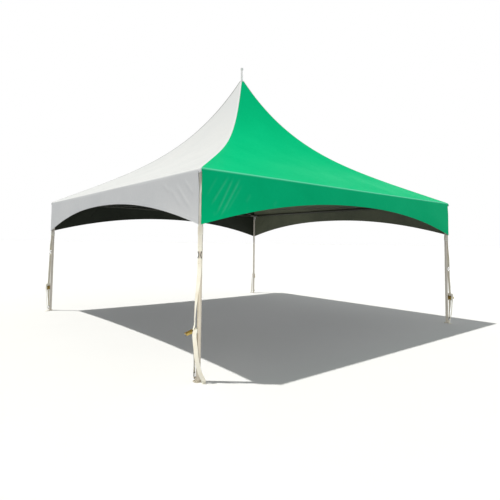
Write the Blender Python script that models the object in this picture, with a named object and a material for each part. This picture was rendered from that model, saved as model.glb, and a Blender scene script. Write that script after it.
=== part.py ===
"""High-peak frame marquee, 20 by 20 ft: concave roof panels in two colours, arched valances, four legs,
a centre mast carried by cross cables, and a ratchet strap on each leg. Metres, +Z up, the origin on
the ground under the mast. Front is -Y and left is -X."""

import math

import bmesh
import bpy
from mathutils import Matrix, Vector

GAP = 0.0003  # between pieces that touch

# Canopy
SIDE = 6.096  # 20 ft
HALF = SIDE / 2
EAVE_Z = 2.42
PEAK_Z = 5.11
PEAK_HOLE = 0.031  # half the square hole that the mast passes
EAVE_SHARE = 0.555  # the straight share of the roof's rise, the rest curves up to the peak
PEAK_POWER = 4.2
PANEL_SAG = 0.035  # of a panel's middle below its hips
FABRIC = 0.006
VALANCE_MIDDLE = 0.26  # depth of the valance at the middle of a side
VALANCE_CORNER = 0.66
ARCH_POWER = 2.14
SLIT = 0.020  # from the corner to each valance's edge
SLIT_TOP = 0.055  # the same at the top of a valance's right edge, which is cut back there
SLIT_WEDGE = 0.235  # height of that cut
PANEL_ROWS = 16
PANEL_COLUMNS = 6
VALANCE_COLUMNS = 26

# Frame
TUBE = 0.0254  # radius of a 2 in tube
SLEEVE = 0.0285  # radius of a fitting's sleeve
FRAME_INSET = 0.050  # from the canopy's side to the axes of the legs and rails
SLEEVE_REACH = 0.16
SOCKET_DROP = 0.13
STUD = 0.010  # radius of the studs that take the cables
STUD_REACH = 0.075
FOOT_RADIUS = 0.060
FOOT_THICK = 0.006
MAST_TIP = 5.41
CAP_RADIUS = 0.029
CAP_HEIGHT = 0.055
HUB_Z = 2.245
HUB_RADIUS = 0.045
HUB_HEIGHT = 0.10
HUB_BEVEL = 0.008
CAP_BEVEL = 0.0015
CAP_DOME = 0.012
CAP_TURNS = (0.45, 0.88, 1.25)  # where the dome's rings lie on it, in radians
COLLAR_RADIUS = 0.085
COLLAR_DEPTH = 0.035
COLLAR_BEVEL = 0.010
COLLAR_RINGS = (PEAK_HOLE, 0.042, 0.055, 0.069, COLLAR_RADIUS)  # distances at which its top follows the roof
COLLAR_LIFT = 0.0008  # between it and the roof's flat faces
CABLE = 0.0048
SCREW = 0.008  # radius of the cable's end fittings and turnbuckle screws
SCREW_LENGTH = 0.05
BUCKLE = 0.013
BUCKLE_LENGTH = 0.14
TAPER = 0.010  # length of each change of radius

# Straps
STRAP_WIDTH = 0.048
STRAP_THICK = 0.003
STRAP_OFF = 0.034  # from the leg's axis to the strap inside the valances
DOUBLED = 0.12  # length of the sewn double end at the canopy's corner
TIE_TOP = 1.745
TIE_HEIGHT = 0.095
TIE_THICK = 0.0025
TIE_SWEEP = 200  # degrees of it that lie round the back of the leg
TIE_STEPS = 8
BITE = 0.0005  # how far pieces that are sewn or welded run into each other
LOOP = 0.035  # length of the sewn loop round a ring's bar
LOOP_END = 0.001  # how far it passes the bar
EASE_STEPS = 6
TWIST = 2.5  # degrees that a strap turns from one station to the next
STRAIGHT = 0.03  # of a strap just before its end
RING_OFF = 0.046  # from the leg's axis to a ring that hangs clear of it
WIRE = 0.004  # radius of the rings' wire
RING_HALF = 0.045  # half the height of the waisted ring between two straps
RING_WIDTH = 0.028
LUG_ROOT = 0.022
LUG_BACK = 0.034
LUG_FRONT = 0.038
LUG_REACH = 0.056
LUG_HALF = 0.006
LUG_LIP_Z = (0.042, 0.052)
FOOT_RING_OFF = 0.0463
FOOT_RING_TOP = 0.105

# Ratchet, about its axle: x outwards, y along the axle, z up
AXLE_Z = 0.57
FRAME_BITE = 0.001  # how far a cross plate runs into the side plates
HOLE_CUT = 0.06  # half the length of the cutter for the arms' holes
AXLE = 0.0075
AXLE_HALF = 0.041
SPOOL = 0.012
FRAME_IN = 0.027
FRAME_OUT = 0.030
FRAME_LENGTH = 0.118
WHEEL = 0.014
WHEEL_Y = (0.0303, 0.033)
BOLT = 0.005
BOLT_Z = -0.108
FRAME_END = 0.010  # radius of its plates' lower end
FRAME_TOP = 0.016
TIE_PLATE_X = (-0.010, -0.008)
TIE_PLATE_Z = (-0.100, -0.030)
ARM_IN = 0.0352
ARM_OUT = 0.038
ARM_HUB = 0.015
ARM_END = 0.010
GRIP = 0.008
GRIP_X = 0.026
GRIP_Z = -0.100
ARM_HOLE = 0.0079
PALM_AT = 0.75  # where the handle's cross plate sits, as a share of the way to the grip
PALM_HALF = 0.013
PALM_THICK = 0.003

# The loose end of a strap: round the back of the ratchet, folded down its side and out onto the ground. Each
# row is the middle of the strap as x and y from the ratchet's axle and its height above the ground, then the
# direction of its width
TAIL = (
    (-0.0178, -0.0310, 0.5700, 0, 0, 1),
    (-0.0178, -0.0180, 0.5700, 0, 0, 1),
    (-0.0192, 0.0050, 0.5700, 0, 0, 1),
    (-0.0216, 0.0220, 0.5700, 0, 0, 1),
    (-0.0225, 0.0360, 0.5700, 0, 0, 1),
    (-0.0150, 0.0470, 0.5700, 0, 0, 1),
    (-0.0010, 0.0490, 0.5680, 0.1, 0, 1),
    (0.0110, 0.0490, 0.5600, 0.7, 0, 0.7),
    (0.0150, 0.0490, 0.5420, 1, 0, 0),
    (0.0130, 0.0485, 0.5000, 1, 0, 0),
    (0.0080, 0.0500, 0.4500, 0.98, -0.15, 0),
    (0.0003, 0.0519, 0.3900, 0.95, -0.3, 0),
    (-0.0086, 0.0533, 0.3000, 0.927, -0.375, 0),
    (-0.0218, 0.0544, 0.2250, 0.927, -0.375, 0),
    (-0.0381, 0.0556, 0.1600, 0.927, -0.375, 0),
    (-0.0572, 0.0580, 0.1000, 0.927, -0.375, 0),
    (-0.0778, 0.0620, 0.0600, 0.927, -0.375, 0),
    (-0.0910, 0.0660, 0.0300, 0.927, -0.375, 0),
    (-0.0955, 0.0740, 0.0120, 0.927, -0.375, 0),
    (-0.0950, 0.0840, 0.0050, 0.927, -0.375, 0),
    (-0.0910, 0.0980, 0.0021, 0.927, -0.375, 0),
    (-0.0870, 0.1120, 0.0020, 0.927, -0.375, 0),
)
TAIL_STEPS = 2

# Each corner: the side that it lies on, the height of its ring, how far round the leg its ratchet sits,
# which way the ratchet faces, its distance from the leg's axis and the handle's opening at rest
CORNERS = {
    "front_left": {"side": (-1, -1), "ring": 1.42, "round": -62, "face": -62, "off": 0.052, "open": 55},
    "front_right": {"side": (1, -1), "ring": 1.08, "round": 0, "face": 30, "off": 0.060, "open": 28},
    "back_right": {"side": (1, 1), "ring": 1.30, "round": 0, "face": 0, "off": 0.052, "open": 12},
    "back_left": {"side": (-1, 1), "ring": 1.30, "round": 0, "face": -30, "off": 0.060, "open": 12},
}
SIDES = {"front": 0, "right": 90, "back": 180, "left": 270}

EAVE_SLOPE = EAVE_SHARE * (PEAK_Z - EAVE_Z) / (HALF - PEAK_HOLE)
EAVE_ANGLE = math.atan(EAVE_SLOPE)
AXIS = HALF - FRAME_INSET  # of the legs and rails, from the middle
RAIL_Z = EAVE_Z + FRAME_INSET * EAVE_SLOPE - (SLEEVE + GAP + FABRIC) / math.cos(EAVE_ANGLE)


def material(name, colour, roughness, metallic=0.0):
    made = bpy.data.materials.new(name)
    made.use_nodes = True
    made.diffuse_color = (*colour, 1)
    shader = made.node_tree.nodes["Principled BSDF"]
    shader.inputs["Base Color"].default_value = (*colour, 1)
    shader.inputs["Roughness"].default_value = roughness
    shader.inputs["Metallic"].default_value = metallic
    return made


def clear_scene():
    for old in list(bpy.data.objects):
        bpy.data.objects.remove(old)


def new_object(name, mesh, finish, place=None, smooth=30):
    """An object of this mesh. Edges sharper than smooth degrees stay sharp."""
    made = bpy.data.objects.new(name, mesh)
    bpy.context.collection.objects.link(made)
    if not mesh.materials:
        mesh.materials.append(finish)
    mesh.shade_smooth()
    mesh.set_sharp_from_angle(angle=math.radians(smooth))
    made.matrix_world = place or Matrix.Identity(4)
    return made


def mesh_from(build, name):
    """The mesh that build(bm) makes, with its faces turned outwards."""
    bm = bmesh.new()
    build(bm)
    bmesh.ops.recalc_face_normals(bm, faces=bm.faces)
    mesh = bpy.data.meshes.new(name)
    bm.to_mesh(mesh)
    bm.free()
    return mesh


def add_loft(bm, rings, closed=False):
    """Joins rings of points, each with the same count, into one closed body."""
    loops = [[bm.verts.new(point) for point in ring] for ring in rings]
    count = len(loops[0])
    pairs = list(zip(loops, loops[1:]))
    if closed:
        pairs.append((loops[-1], loops[0]))
    for low, high in pairs:
        for i in range(count):
            j = (i + 1) % count
            bm.faces.new((low[i], low[j], high[j], high[i]))
    if not closed:
        bm.faces.new(loops[0][::-1])
        bm.faces.new(loops[-1])


def circle(radius, centre, across, up, sides):
    turns = (math.tau * i / sides for i in range(sides))
    return [centre + radius * (math.cos(a) * across + math.sin(a) * up) for a in turns]


def polar(radius, angle, z=0.0):
    return Vector((radius * math.cos(angle), radius * math.sin(angle), z))


def add_rod(bm, start, end, radius, sides=16):
    """A round rod from start to end."""
    start, end = Vector(start), Vector(end)
    along = (end - start).normalized()
    across = along.orthogonal().normalized()
    up = along.cross(across)
    add_loft(bm, [circle(radius, point, across, up, sides) for point in (start, end)])


def add_box(bm, low, high):
    corners = [(low[0], low[1]), (high[0], low[1]), (high[0], high[1]), (low[0], high[1])]
    add_loft(bm, [[(x, y, z) for x, y in corners] for z in (low[2], high[2])])


def add_turned(bm, profile, sides=20):
    """Turns a profile of (radius, z) about Z. Its ends are closed flat."""
    rings = [circle(r, Vector((0, 0, z)), Vector((1, 0, 0)), Vector((0, 1, 0)), sides) for r, z in profile]
    add_loft(bm, rings)


def add_plate(bm, outline, near, far):
    """A flat plate with an outline of (x, z), from y = near to y = far."""
    add_loft(bm, [[(x, y, z) for x, z in outline] for y in (near, far)])


def arc(centre, radius, first, sweep, steps=8):
    """Points of (x, z) on an arc, in degrees."""
    angles = (math.radians(first + sweep * step / steps) for step in range(steps + 1))
    return [(centre[0] + radius * math.cos(a), centre[1] + radius * math.sin(a)) for a in angles]


def capsule(small, small_at, large):
    """The outline of a plate round a large circle at the origin and a small one at small_at, as (x, z)."""
    heading = math.degrees(math.atan2(small_at[1], small_at[0]))
    lean = math.degrees(math.asin((large - small) / math.hypot(*small_at)))
    head = arc((0, 0), large, heading + 90 - lean, 180 + 2 * lean)
    return head + arc(small_at, small, heading - 90 + lean, 180 - 2 * lean)


def fused(name, pieces, holes=()):
    """One mesh from pieces that overlap, less the holes. Each is a function that fills a bmesh."""
    helpers = []
    for piece in (*pieces, *holes):
        helper = bpy.data.objects.new(name, mesh_from(piece, name))
        bpy.context.collection.objects.link(helper)
        helper.hide_render = True
        helper.display_type = "WIRE"
        helpers.append(helper)
    body = helpers[0]
    for index, helper in enumerate(helpers[1:], start=1):
        cut = body.modifiers.new("join", "BOOLEAN")
        cut.operation = "UNION" if index < len(pieces) else "DIFFERENCE"
        cut.object = helper
    graph = bpy.context.evaluated_depsgraph_get()
    mesh = bpy.data.meshes.new_from_object(body.evaluated_get(graph))
    for helper in helpers:
        bpy.data.objects.remove(helper)
    return mesh


def rounded(points):
    """A closed path with its corners cut twice, which rounds them."""
    for _ in range(2):
        ahead = points[1:] + points[:1]
        points = [p.lerp(q, share) for p, q in zip(points, ahead) for share in (0.25, 0.75)]
    return points


def add_wire_loop(bm, path, normal, sides=6):
    """A closed ring of round wire along a flat path."""
    rings = []
    for before, here, after in zip(path[-1:] + path[:-1], path, path[1:] + path[:1]):
        along = (after - before).normalized()
        rings.append(circle(WIRE, here, normal, along.cross(normal), sides))
    add_loft(bm, rings, closed=True)


def roof_z(distance):
    """Height of the roof's outer surface at this distance from the middle, measured square to a side."""
    share = (HALF - distance) / (HALF - PEAK_HOLE)
    return EAVE_Z + (PEAK_Z - EAVE_Z) * (EAVE_SHARE * share + (1 - EAVE_SHARE) * share**PEAK_POWER)


def roof_drop(distance):
    """Upright thickness of the fabric there."""
    share = (HALF - distance) / (HALF - PEAK_HOLE)
    rise = EAVE_SHARE + (1 - EAVE_SHARE) * PEAK_POWER * share ** (PEAK_POWER - 1)
    return FABRIC * math.hypot(1, rise * (PEAK_Z - EAVE_Z) / (HALF - PEAK_HOLE))


def underside_z(distance):
    return roof_z(distance) - roof_drop(distance)


def roof_panel():
    """The front panel, between its two hips. It sags a little between them."""

    def build(bm):
        rings = []
        for row in range(PANEL_ROWS + 1):
            share = 1 - (1 - row / PANEL_ROWS) ** 1.35
            distance = HALF - (HALF - PEAK_HOLE) * share
            outer = []
            inner = []
            for column in range(PANEL_COLUMNS + 1):
                across = 2 * column / PANEL_COLUMNS - 1
                sag = PANEL_SAG * (1 - across**2) * math.sin(math.pi * share) ** 2
                x = across * (distance - GAP)
                outer.append((x, -distance, roof_z(distance) - sag))
                inner.append((x, -distance, underside_z(distance) - sag))
            rings.append(outer + inner[::-1])
        add_loft(bm, rings)

    return mesh_from(build, "roof_panel")


def valance_drop(position):
    share = abs(position) / HALF
    return VALANCE_MIDDLE + (VALANCE_CORNER - VALANCE_MIDDLE) * share**ARCH_POWER


def valance():
    """The front valance, from just under the roof's edge to its arched hem."""
    top = EAVE_Z - roof_drop(HALF) - GAP
    reach = HALF - SLIT

    def build(bm):
        rings = []
        for column in range(VALANCE_COLUMNS + 1):
            x = reach * (2 * column / VALANCE_COLUMNS - 1)
            edge = min(x, HALF - SLIT_TOP)
            outline = [(edge, top), (x, EAVE_Z - SLIT_WEDGE), (x, EAVE_Z - valance_drop(x))]
            outer = [(a, -HALF, z) for a, z in outline]
            inner = [(a, -HALF + FABRIC, z) for a, z in outline[::-1]]
            rings.append(outer + inner)
        add_loft(bm, rings)

    return mesh_from(build, "valance")


def rail():
    reach = AXIS - SLEEVE_REACH - GAP
    return mesh_from(lambda bm: add_rod(bm, (-reach, -AXIS, RAIL_Z), (reach, -AXIS, RAIL_Z), TUBE), "rail")


def cable_direction():
    """From a corner's axis to the hub, in the corner's own frame."""
    return Vector((-AXIS * math.sqrt(2), 0, HUB_Z - RAIL_Z)).normalized()


def corner_fitting():
    """Sleeves for two rails, a socket for the leg and a stud for the cable, about the leg's axis."""
    centre = Vector((0, 0, RAIL_Z))
    ball = Matrix.Translation(centre)
    ends = [centre + SLEEVE_REACH * Vector((-math.sqrt(0.5), side * math.sqrt(0.5), 0)) for side in (-1, 1)]
    pieces = [
        lambda bm: bmesh.ops.create_uvsphere(bm, u_segments=16, v_segments=10, radius=SLEEVE, matrix=ball),
        lambda bm: add_rod(bm, centre, ends[0], SLEEVE),
        lambda bm: add_rod(bm, centre, ends[1], SLEEVE),
        lambda bm: add_rod(bm, centre, (0, 0, RAIL_Z - SOCKET_DROP), SLEEVE),
        lambda bm: add_rod(bm, centre, centre + STUD_REACH * cable_direction(), STUD, 12),
    ]
    return fused("corner_fitting", pieces)


def leg():
    """A tube on a round foot, with a lug that holds the strap's foot ring."""
    top = RAIL_Z - SOCKET_DROP - GAP
    pieces = [
        lambda bm: add_rod(bm, (0, 0, 0), (0, 0, FOOT_THICK), FOOT_RADIUS, 28),
        lambda bm: add_rod(bm, (0, 0, FOOT_THICK / 2), (0, 0, top), TUBE, 20),
        lambda bm: add_box(bm, (LUG_ROOT, -LUG_HALF, FOOT_THICK / 2), (LUG_FRONT, LUG_HALF, LUG_LIP_Z[1])),
        lambda bm: add_box(bm, (LUG_BACK, -LUG_HALF, LUG_LIP_Z[0]), (LUG_REACH, LUG_HALF, LUG_LIP_Z[1])),
    ]
    return fused("leg", pieces)


def hub():
    """The round block at the mast's foot, with a stud towards each corner."""
    centre = Vector((0, 0, HUB_Z))
    half = HUB_HEIGHT / 2
    rim = HUB_RADIUS - HUB_BEVEL
    edge = half - HUB_BEVEL
    profile = [(rim, HUB_Z - half), (HUB_RADIUS, HUB_Z - edge)]
    profile += [(HUB_RADIUS, HUB_Z + edge), (rim, HUB_Z + half)]
    pieces = [lambda bm: add_turned(bm, profile)]
    for corner in CORNERS.values():
        toward = -cable_direction()
        toward.rotate(Matrix.Rotation(corner_azimuth(corner), 3, "Z"))
        pieces.append(lambda bm, end=centre + STUD_REACH * toward: add_rod(bm, centre, end, STUD, 12))
    return fused("mast_hub", pieces)


def mast():
    low = HUB_Z + HUB_HEIGHT / 2 + GAP
    high = MAST_TIP - CAP_HEIGHT - GAP
    return mesh_from(lambda bm: add_rod(bm, (0, 0, low), (0, 0, high), TUBE, 20), "mast")


def mast_cap():
    """A plastic cap with a domed top, a little wider than the mast."""
    base = MAST_TIP - CAP_HEIGHT
    shoulder = MAST_TIP - CAP_DOME
    profile = [(CAP_RADIUS - CAP_BEVEL, base), (CAP_RADIUS, base + CAP_BEVEL), (CAP_RADIUS, shoulder)]
    crown = math.sin(CAP_TURNS[-1])
    for angle in CAP_TURNS:
        profile.append((CAP_RADIUS * math.cos(angle), shoulder + CAP_DOME * math.sin(angle) / crown))
    return mesh_from(lambda bm: add_turned(bm, profile), "mast_cap")


def peak_collar():
    """A turned ring on the mast whose top follows the roof's underside and carries the peak."""
    bore = TUBE + GAP
    top = [(distance, underside_z(distance) - COLLAR_LIFT) for distance in COLLAR_RINGS]
    low = top[-1][1] - COLLAR_DEPTH
    rim = [(COLLAR_RADIUS, low + COLLAR_BEVEL), (COLLAR_RADIUS - COLLAR_BEVEL, low)]
    outline = [(bore, top[0][1]), *top, *rim, (bore, low)]

    def build(bm):
        turns = [math.tau * i / 24 for i in range(24)]
        add_loft(bm, [[polar(radius, angle, z) for radius, z in outline] for angle in turns], closed=True)

    return mesh_from(build, "peak_collar")


def cable():
    """From the fitting's stud to the hub's, with a turnbuckle near the corner, in the corner's own frame."""
    start = Vector((0, 0, RAIL_Z))
    span = (Vector((-AXIS * math.sqrt(2), 0, HUB_Z)) - start).length
    along = STUD_REACH + GAP
    profile = [(SCREW, along)]
    for radius, length in ((SCREW, SCREW_LENGTH), (BUCKLE, BUCKLE_LENGTH), (SCREW, SCREW_LENGTH)):
        profile += [(radius, along + TAPER), (radius, along + length)]
        along += length
    along += TAPER
    last = span - STUD_REACH - GAP
    profile += [(CABLE, along), (CABLE, last - SCREW_LENGTH - TAPER)]
    profile += [(SCREW, last - SCREW_LENGTH), (SCREW, last)]
    mesh = mesh_from(lambda bm: add_turned(bm, profile, 10), "cable")
    mesh.transform(Matrix.Translation(start) @ cable_direction().to_track_quat("Z", "Y").to_matrix().to_4x4())
    return mesh


def strap_place(z, off, around, face):
    """A point on a strap beside the leg, and the direction of its width there."""
    return polar(off, math.radians(around), z), polar(1, math.radians(face + 90))


def eased(keys):
    """Stations between keys, eased from each to the next, and closer together where the strap twists."""
    stations = [keys[0]]
    for first, last in zip(keys, keys[1:]):
        twist = max(abs(b - a) for a, b in zip(first[2:], last[2:]))
        steps = 1 if first[1:] == last[1:] else max(EASE_STEPS, round(twist / TWIST))
        for step in range(1, steps + 1):
            share = step / steps
            ease = share * share * (3 - 2 * share)
            rest = (a + (b - a) * ease for a, b in zip(first[1:], last[1:]))
            stations.append((first[0] + (last[0] - first[0]) * share, *rest))
    return stations


def add_ribbon(bm, places, thick=STRAP_THICK):
    """A flat strap through places of (point, width direction)."""
    points = [place[0] for place in places]
    rings = []
    for index, (point, width) in enumerate(places):
        along = (points[min(index + 1, len(points) - 1)] - points[max(index - 1, 0)]).normalized()
        width = (width - along * width.dot(along)).normalized() * STRAP_WIDTH / 2
        out = along.cross(width).normalized() * thick / 2
        rings.append([point - width - out, point + width - out, point + width + out, point - width + out])
    add_loft(bm, rings)


def hang(corner):
    """Where the waisted ring between the two upper straps hangs: off, round and face."""
    if corner["round"]:
        return STRAP_OFF, 0, 0
    return RING_OFF, 0, corner["face"]


def ring_path(corner):
    """The waisted ring, which looks like an X from the front."""
    centre, width = strap_place(corner["ring"], *hang(corner))
    up = Vector((0, 0, 1))
    shape = [(1, 1), (0.36, 0), (1, -1), (-1, -1), (-0.36, 0), (-1, 1)]
    path = [centre + width * RING_WIDTH * a + up * RING_HALF * b for a, b in shape]
    return rounded(path), width.cross(up)


def foot_ring_path(corner):
    """The ring that hooks under the lip of the foot's lug."""
    low = LUG_LIP_Z[0] - GAP - WIRE
    foot, width = strap_place(low, FOOT_RING_OFF, corner["round"], corner["round"])
    up = Vector((0, 0, 1))
    shape = [(1, 0), (1, FOOT_RING_TOP - low), (-1, FOOT_RING_TOP - low), (-1, 0)]
    path = [foot + width * RING_WIDTH * a + up * b for a, b in shape]
    return rounded(path), width.cross(up)


def places_along(keys):
    return [strap_place(*key) for key in eased(keys)]


def tie_rings():
    """The band that holds the valance's tips to the leg and the strap: round behind, flat in front."""
    front = STRAP_OFF + STRAP_THICK / 2 - BITE
    half = STRAP_WIDTH / 2 + GAP
    back = TUBE + GAP
    inner = [Vector((front, -half, 0)), Vector((front, half, 0))]
    turn = math.radians(TIE_SWEEP / TIE_STEPS)
    for step in range(TIE_STEPS + 1):
        inner.append(polar(back / math.cos(turn / 2), math.pi + turn * (step - TIE_STEPS / 2)))
    low, high = Vector((0, 0, TIE_TOP - TIE_HEIGHT)), Vector((0, 0, TIE_TOP))
    rings = []
    for before, here, after in zip(inner[-1:] + inner[:-1], inner, inner[1:] + inner[:1]):
        out = here + Vector(((after - before).y, -(after - before).x, 0)).normalized() * TIE_THICK * 1.1
        rings.append([here + low, out + low, out + high, here + high])
    return rings


def upper_strap(corner):
    """From the canopy's corner, where it is sewn double, through the valance tie to its ring."""
    sewn_edge = AXIS + (STRAP_OFF + STRAP_THICK + STRAP_WIDTH / 2) / math.sqrt(2)
    top = underside_z(sewn_edge) - GAP
    bar = corner["ring"] + RING_HALF
    hung = hang(corner)
    plumb = (STRAP_OFF, 0, 0)
    double = [(top, *plumb), (top - DOUBLED, *plumb)]
    single = [(top - BITE, *plumb), (TIE_TOP - TIE_HEIGHT - STRAIGHT, *plumb), (bar + WIRE, *hung)]
    loop = [(bar + LOOP, *hung), (bar - WIRE - LOOP_END, *hung)]
    path, normal = ring_path(corner)
    pieces = [
        lambda bm: add_ribbon(bm, places_along(single)),
        lambda bm: add_ribbon(bm, places_along(double), STRAP_THICK * 2),
        lambda bm: add_ribbon(bm, places_along(loop), STRAP_THICK * 3),
        lambda bm: add_wire_loop(bm, path, normal),
        lambda bm: add_loft(bm, tie_rings(), closed=True),
    ]
    return fused("upper_strap", pieces)


def ratchet_strap(corner):
    """From the lower bar of the ring to the ratchet's spool."""
    high = corner["ring"] - RING_HALF - WIRE - GAP
    low = AXLE_Z + SPOOL + GAP
    seat = (corner["off"], corner["round"], corner["face"])
    keys = [(high, *hang(corner)), (low + STRAIGHT, *seat), (low, *seat)]
    return mesh_from(lambda bm: add_ribbon(bm, places_along(keys)), "ratchet_strap")


def anchor_strap(corner):
    """The ratchet's short fixed strap, with the ring that hooks on the foot."""
    high = AXLE_Z + BOLT_Z - BOLT - GAP
    seat = (FOOT_RING_OFF, corner["round"], corner["round"])
    single = [(high, corner["off"], corner["round"], corner["face"]), (FOOT_RING_TOP + WIRE, *seat)]
    loop = [(FOOT_RING_TOP + LOOP, *seat), (FOOT_RING_TOP - WIRE - LOOP_END, *seat)]
    path, normal = foot_ring_path(corner)
    pieces = [
        lambda bm: add_ribbon(bm, places_along(single)),
        lambda bm: add_ribbon(bm, places_along(loop), STRAP_THICK * 3),
        lambda bm: add_wire_loop(bm, path, normal),
    ]
    return fused("anchor_strap", pieces)


def ratchet_frame():
    """Two side plates with their spool, bolt, cross plate and ratchet wheels, about the axle."""
    outline = capsule(FRAME_END, (0, FRAME_END - FRAME_LENGTH), FRAME_TOP)
    side = FRAME_IN + FRAME_BITE
    plate = [(TIE_PLATE_X[0], -side, TIE_PLATE_Z[0]), (TIE_PLATE_X[1], side, TIE_PLATE_Z[1])]
    pieces = [
        lambda bm: add_rod(bm, (0, -FRAME_OUT, 0), (0, FRAME_OUT, 0), SPOOL, 16),
        lambda bm: add_rod(bm, (0, -AXLE_HALF, 0), (0, AXLE_HALF, 0), AXLE, 12),
        lambda bm: add_rod(bm, (0, -FRAME_OUT, BOLT_Z), (0, FRAME_OUT, BOLT_Z), BOLT, 10),
        lambda bm: add_box(bm, *plate),
    ]
    for turn in (-1, 1):
        pieces.append(lambda bm, y=turn: add_plate(bm, outline, y * FRAME_IN, y * FRAME_OUT))
        wheel = [(0, turn * y, 0) for y in WHEEL_Y]
        pieces.append(lambda bm, ends=wheel: add_rod(bm, *ends, WHEEL, 16))
    return fused("ratchet_frame", pieces)


def ratchet_handle():
    """Two arms with the grip between their ends and a cross plate for the palm, hanging from the axle."""
    outline = capsule(ARM_END, (GRIP_X, GRIP_Z), ARM_HUB)
    x, z = GRIP_X * PALM_AT, GRIP_Z * PALM_AT
    side = ARM_IN + FRAME_BITE
    palm = [(x - PALM_THICK / 2, -side, z - PALM_HALF), (x + PALM_THICK / 2, side, z + PALM_HALF)]
    pieces = [
        lambda bm: add_rod(bm, (GRIP_X, -ARM_OUT, GRIP_Z), (GRIP_X, ARM_OUT, GRIP_Z), GRIP, 14),
        lambda bm: add_box(bm, *palm),
    ]
    for turn in (-1, 1):
        pieces.append(lambda bm, y=turn: add_plate(bm, outline, y * ARM_IN, y * ARM_OUT))
    hole = [lambda bm: add_rod(bm, (0, -HOLE_CUT, 0), (0, HOLE_CUT, 0), ARM_HOLE, 20)]
    return fused("ratchet_handle", pieces, hole)


def smooth(keys, steps):
    """Stations on a smooth curve through the keys."""
    stations = [keys[0]]
    for index in range(len(keys) - 1):
        before, first, last, after = (keys[min(max(index + k, 0), len(keys) - 1)] for k in (-1, 0, 1, 2))
        for step in range(1, steps + 1):
            t = step / steps
            station = []
            for a, b, c, d in zip(before, first, last, after):
                bend = (2 * a - 5 * b + 4 * c - d) * t**2 + (3 * b - a - 3 * c + d) * t**3
                station.append(b + ((c - a) * t + bend) / 2)
            stations.append(tuple(station))
    return stations


def tail_places(corner):
    """The loose end of the strap, in the ratchet's place but with its heights from the ground."""
    turn = -1 if corner["face"] > 0 else 1
    places = []
    for x, y, z, *width in smooth(TAIL, TAIL_STEPS):
        places.append((Vector((x, turn * y, z)), Vector((width[0], turn * width[1], width[2])).normalized()))
    return places


def corner_azimuth(corner):
    return math.atan2(corner["side"][1], corner["side"][0])


def corner_place(corner):
    x, y = corner["side"]
    return Matrix.Translation((x * AXIS, y * AXIS, 0)) @ Matrix.Rotation(corner_azimuth(corner), 4, "Z")


def ratchet_place(corner):
    point, _ = strap_place(AXLE_Z, corner["off"], corner["round"], 0)
    turn = Matrix.Rotation(math.radians(corner["face"]), 4, "Z")
    return corner_place(corner) @ Matrix.Translation(point) @ turn


def main():
    clear_scene()
    green = material("green_vinyl", (0.010, 0.52, 0.26), 0.4)
    white = material("white_vinyl", (0.86, 0.87, 0.87), 0.4)
    painted = material("cream_paint", (0.72, 0.69, 0.60), 0.4, 0.2)
    zinc = material("zinc_plated_steel", (0.55, 0.53, 0.46), 0.35, 0.9)
    strap = material("polyester_webbing", (0.84, 0.82, 0.74), 0.8)
    plastic = material("grey_plastic", (0.62, 0.62, 0.60), 0.5)

    panel_mesh = {"green": roof_panel(), "white": roof_panel()}
    valance_mesh = {"green": valance(), "white": valance()}
    rail_mesh = rail()
    for side, degrees in SIDES.items():
        turn = Matrix.Rotation(math.radians(degrees), 4, "Z")
        colour = "green" if side in ("front", "back") else "white"
        vinyl = green if colour == "green" else white
        new_object(f"roof_panel_{side}", panel_mesh[colour], vinyl, turn)
        new_object(f"valance_{side}", valance_mesh[colour], vinyl, turn)
        new_object(f"eave_rail_{side}", rail_mesh, painted, turn)

    new_object("mast", mast(), painted)
    new_object("mast_cap", mast_cap(), plastic)
    new_object("mast_hub", hub(), zinc)
    new_object("peak_collar", peak_collar(), zinc)

    fitting_mesh, leg_mesh, cable_mesh = corner_fitting(), leg(), cable()
    frame_mesh, handle_mesh = ratchet_frame(), ratchet_handle()
    for name, corner in CORNERS.items():
        place = corner_place(corner)
        new_object(f"corner_fitting_{name}", fitting_mesh, zinc, place)
        turned = Matrix.Rotation(math.radians(corner["round"]), 4, "Z")
        new_object(f"leg_{name}", leg_mesh, painted, place @ turned)
        new_object(f"cross_cable_{name}", cable_mesh, zinc, place)
        new_object(f"upper_strap_{name}", upper_strap(corner), strap, place)
        new_object(f"ratchet_strap_{name}", ratchet_strap(corner), strap, place)
        new_object(f"anchor_strap_{name}", anchor_strap(corner), strap, place)
        axle = ratchet_place(corner)
        below = axle @ Matrix.Translation((0, 0, -AXLE_Z))
        new_object(f"ratchet_frame_{name}", frame_mesh, zinc, axle)
        opened = Matrix.Rotation(-math.radians(corner["open"]), 4, "Y")
        new_object(f"ratchet_handle_{name}", handle_mesh, zinc, axle @ opened)
        tail = mesh_from(lambda bm, places=tail_places(corner): add_ribbon(bm, places), "strap_tail")
        new_object(f"strap_tail_{name}", tail, strap, below)
    bpy.context.view_layer.update()


main()
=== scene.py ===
# %% [markdown]
# # A high-peak frame marquee, dressed
# The solids of the tent come packed as a fixed frame: four roof panels, four valances, the tubes, the
# cables and the ratchet straps. This script keeps the hard parts where they are and gives them real
# finishes. It makes every soft part again as what it is, in cloth and webbing, and then adds the camera,
# the light and the floor.

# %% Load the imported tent
import math

import bmesh
import bpy
import numpy as np
from mathutils import Matrix, Vector, noise


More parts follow.
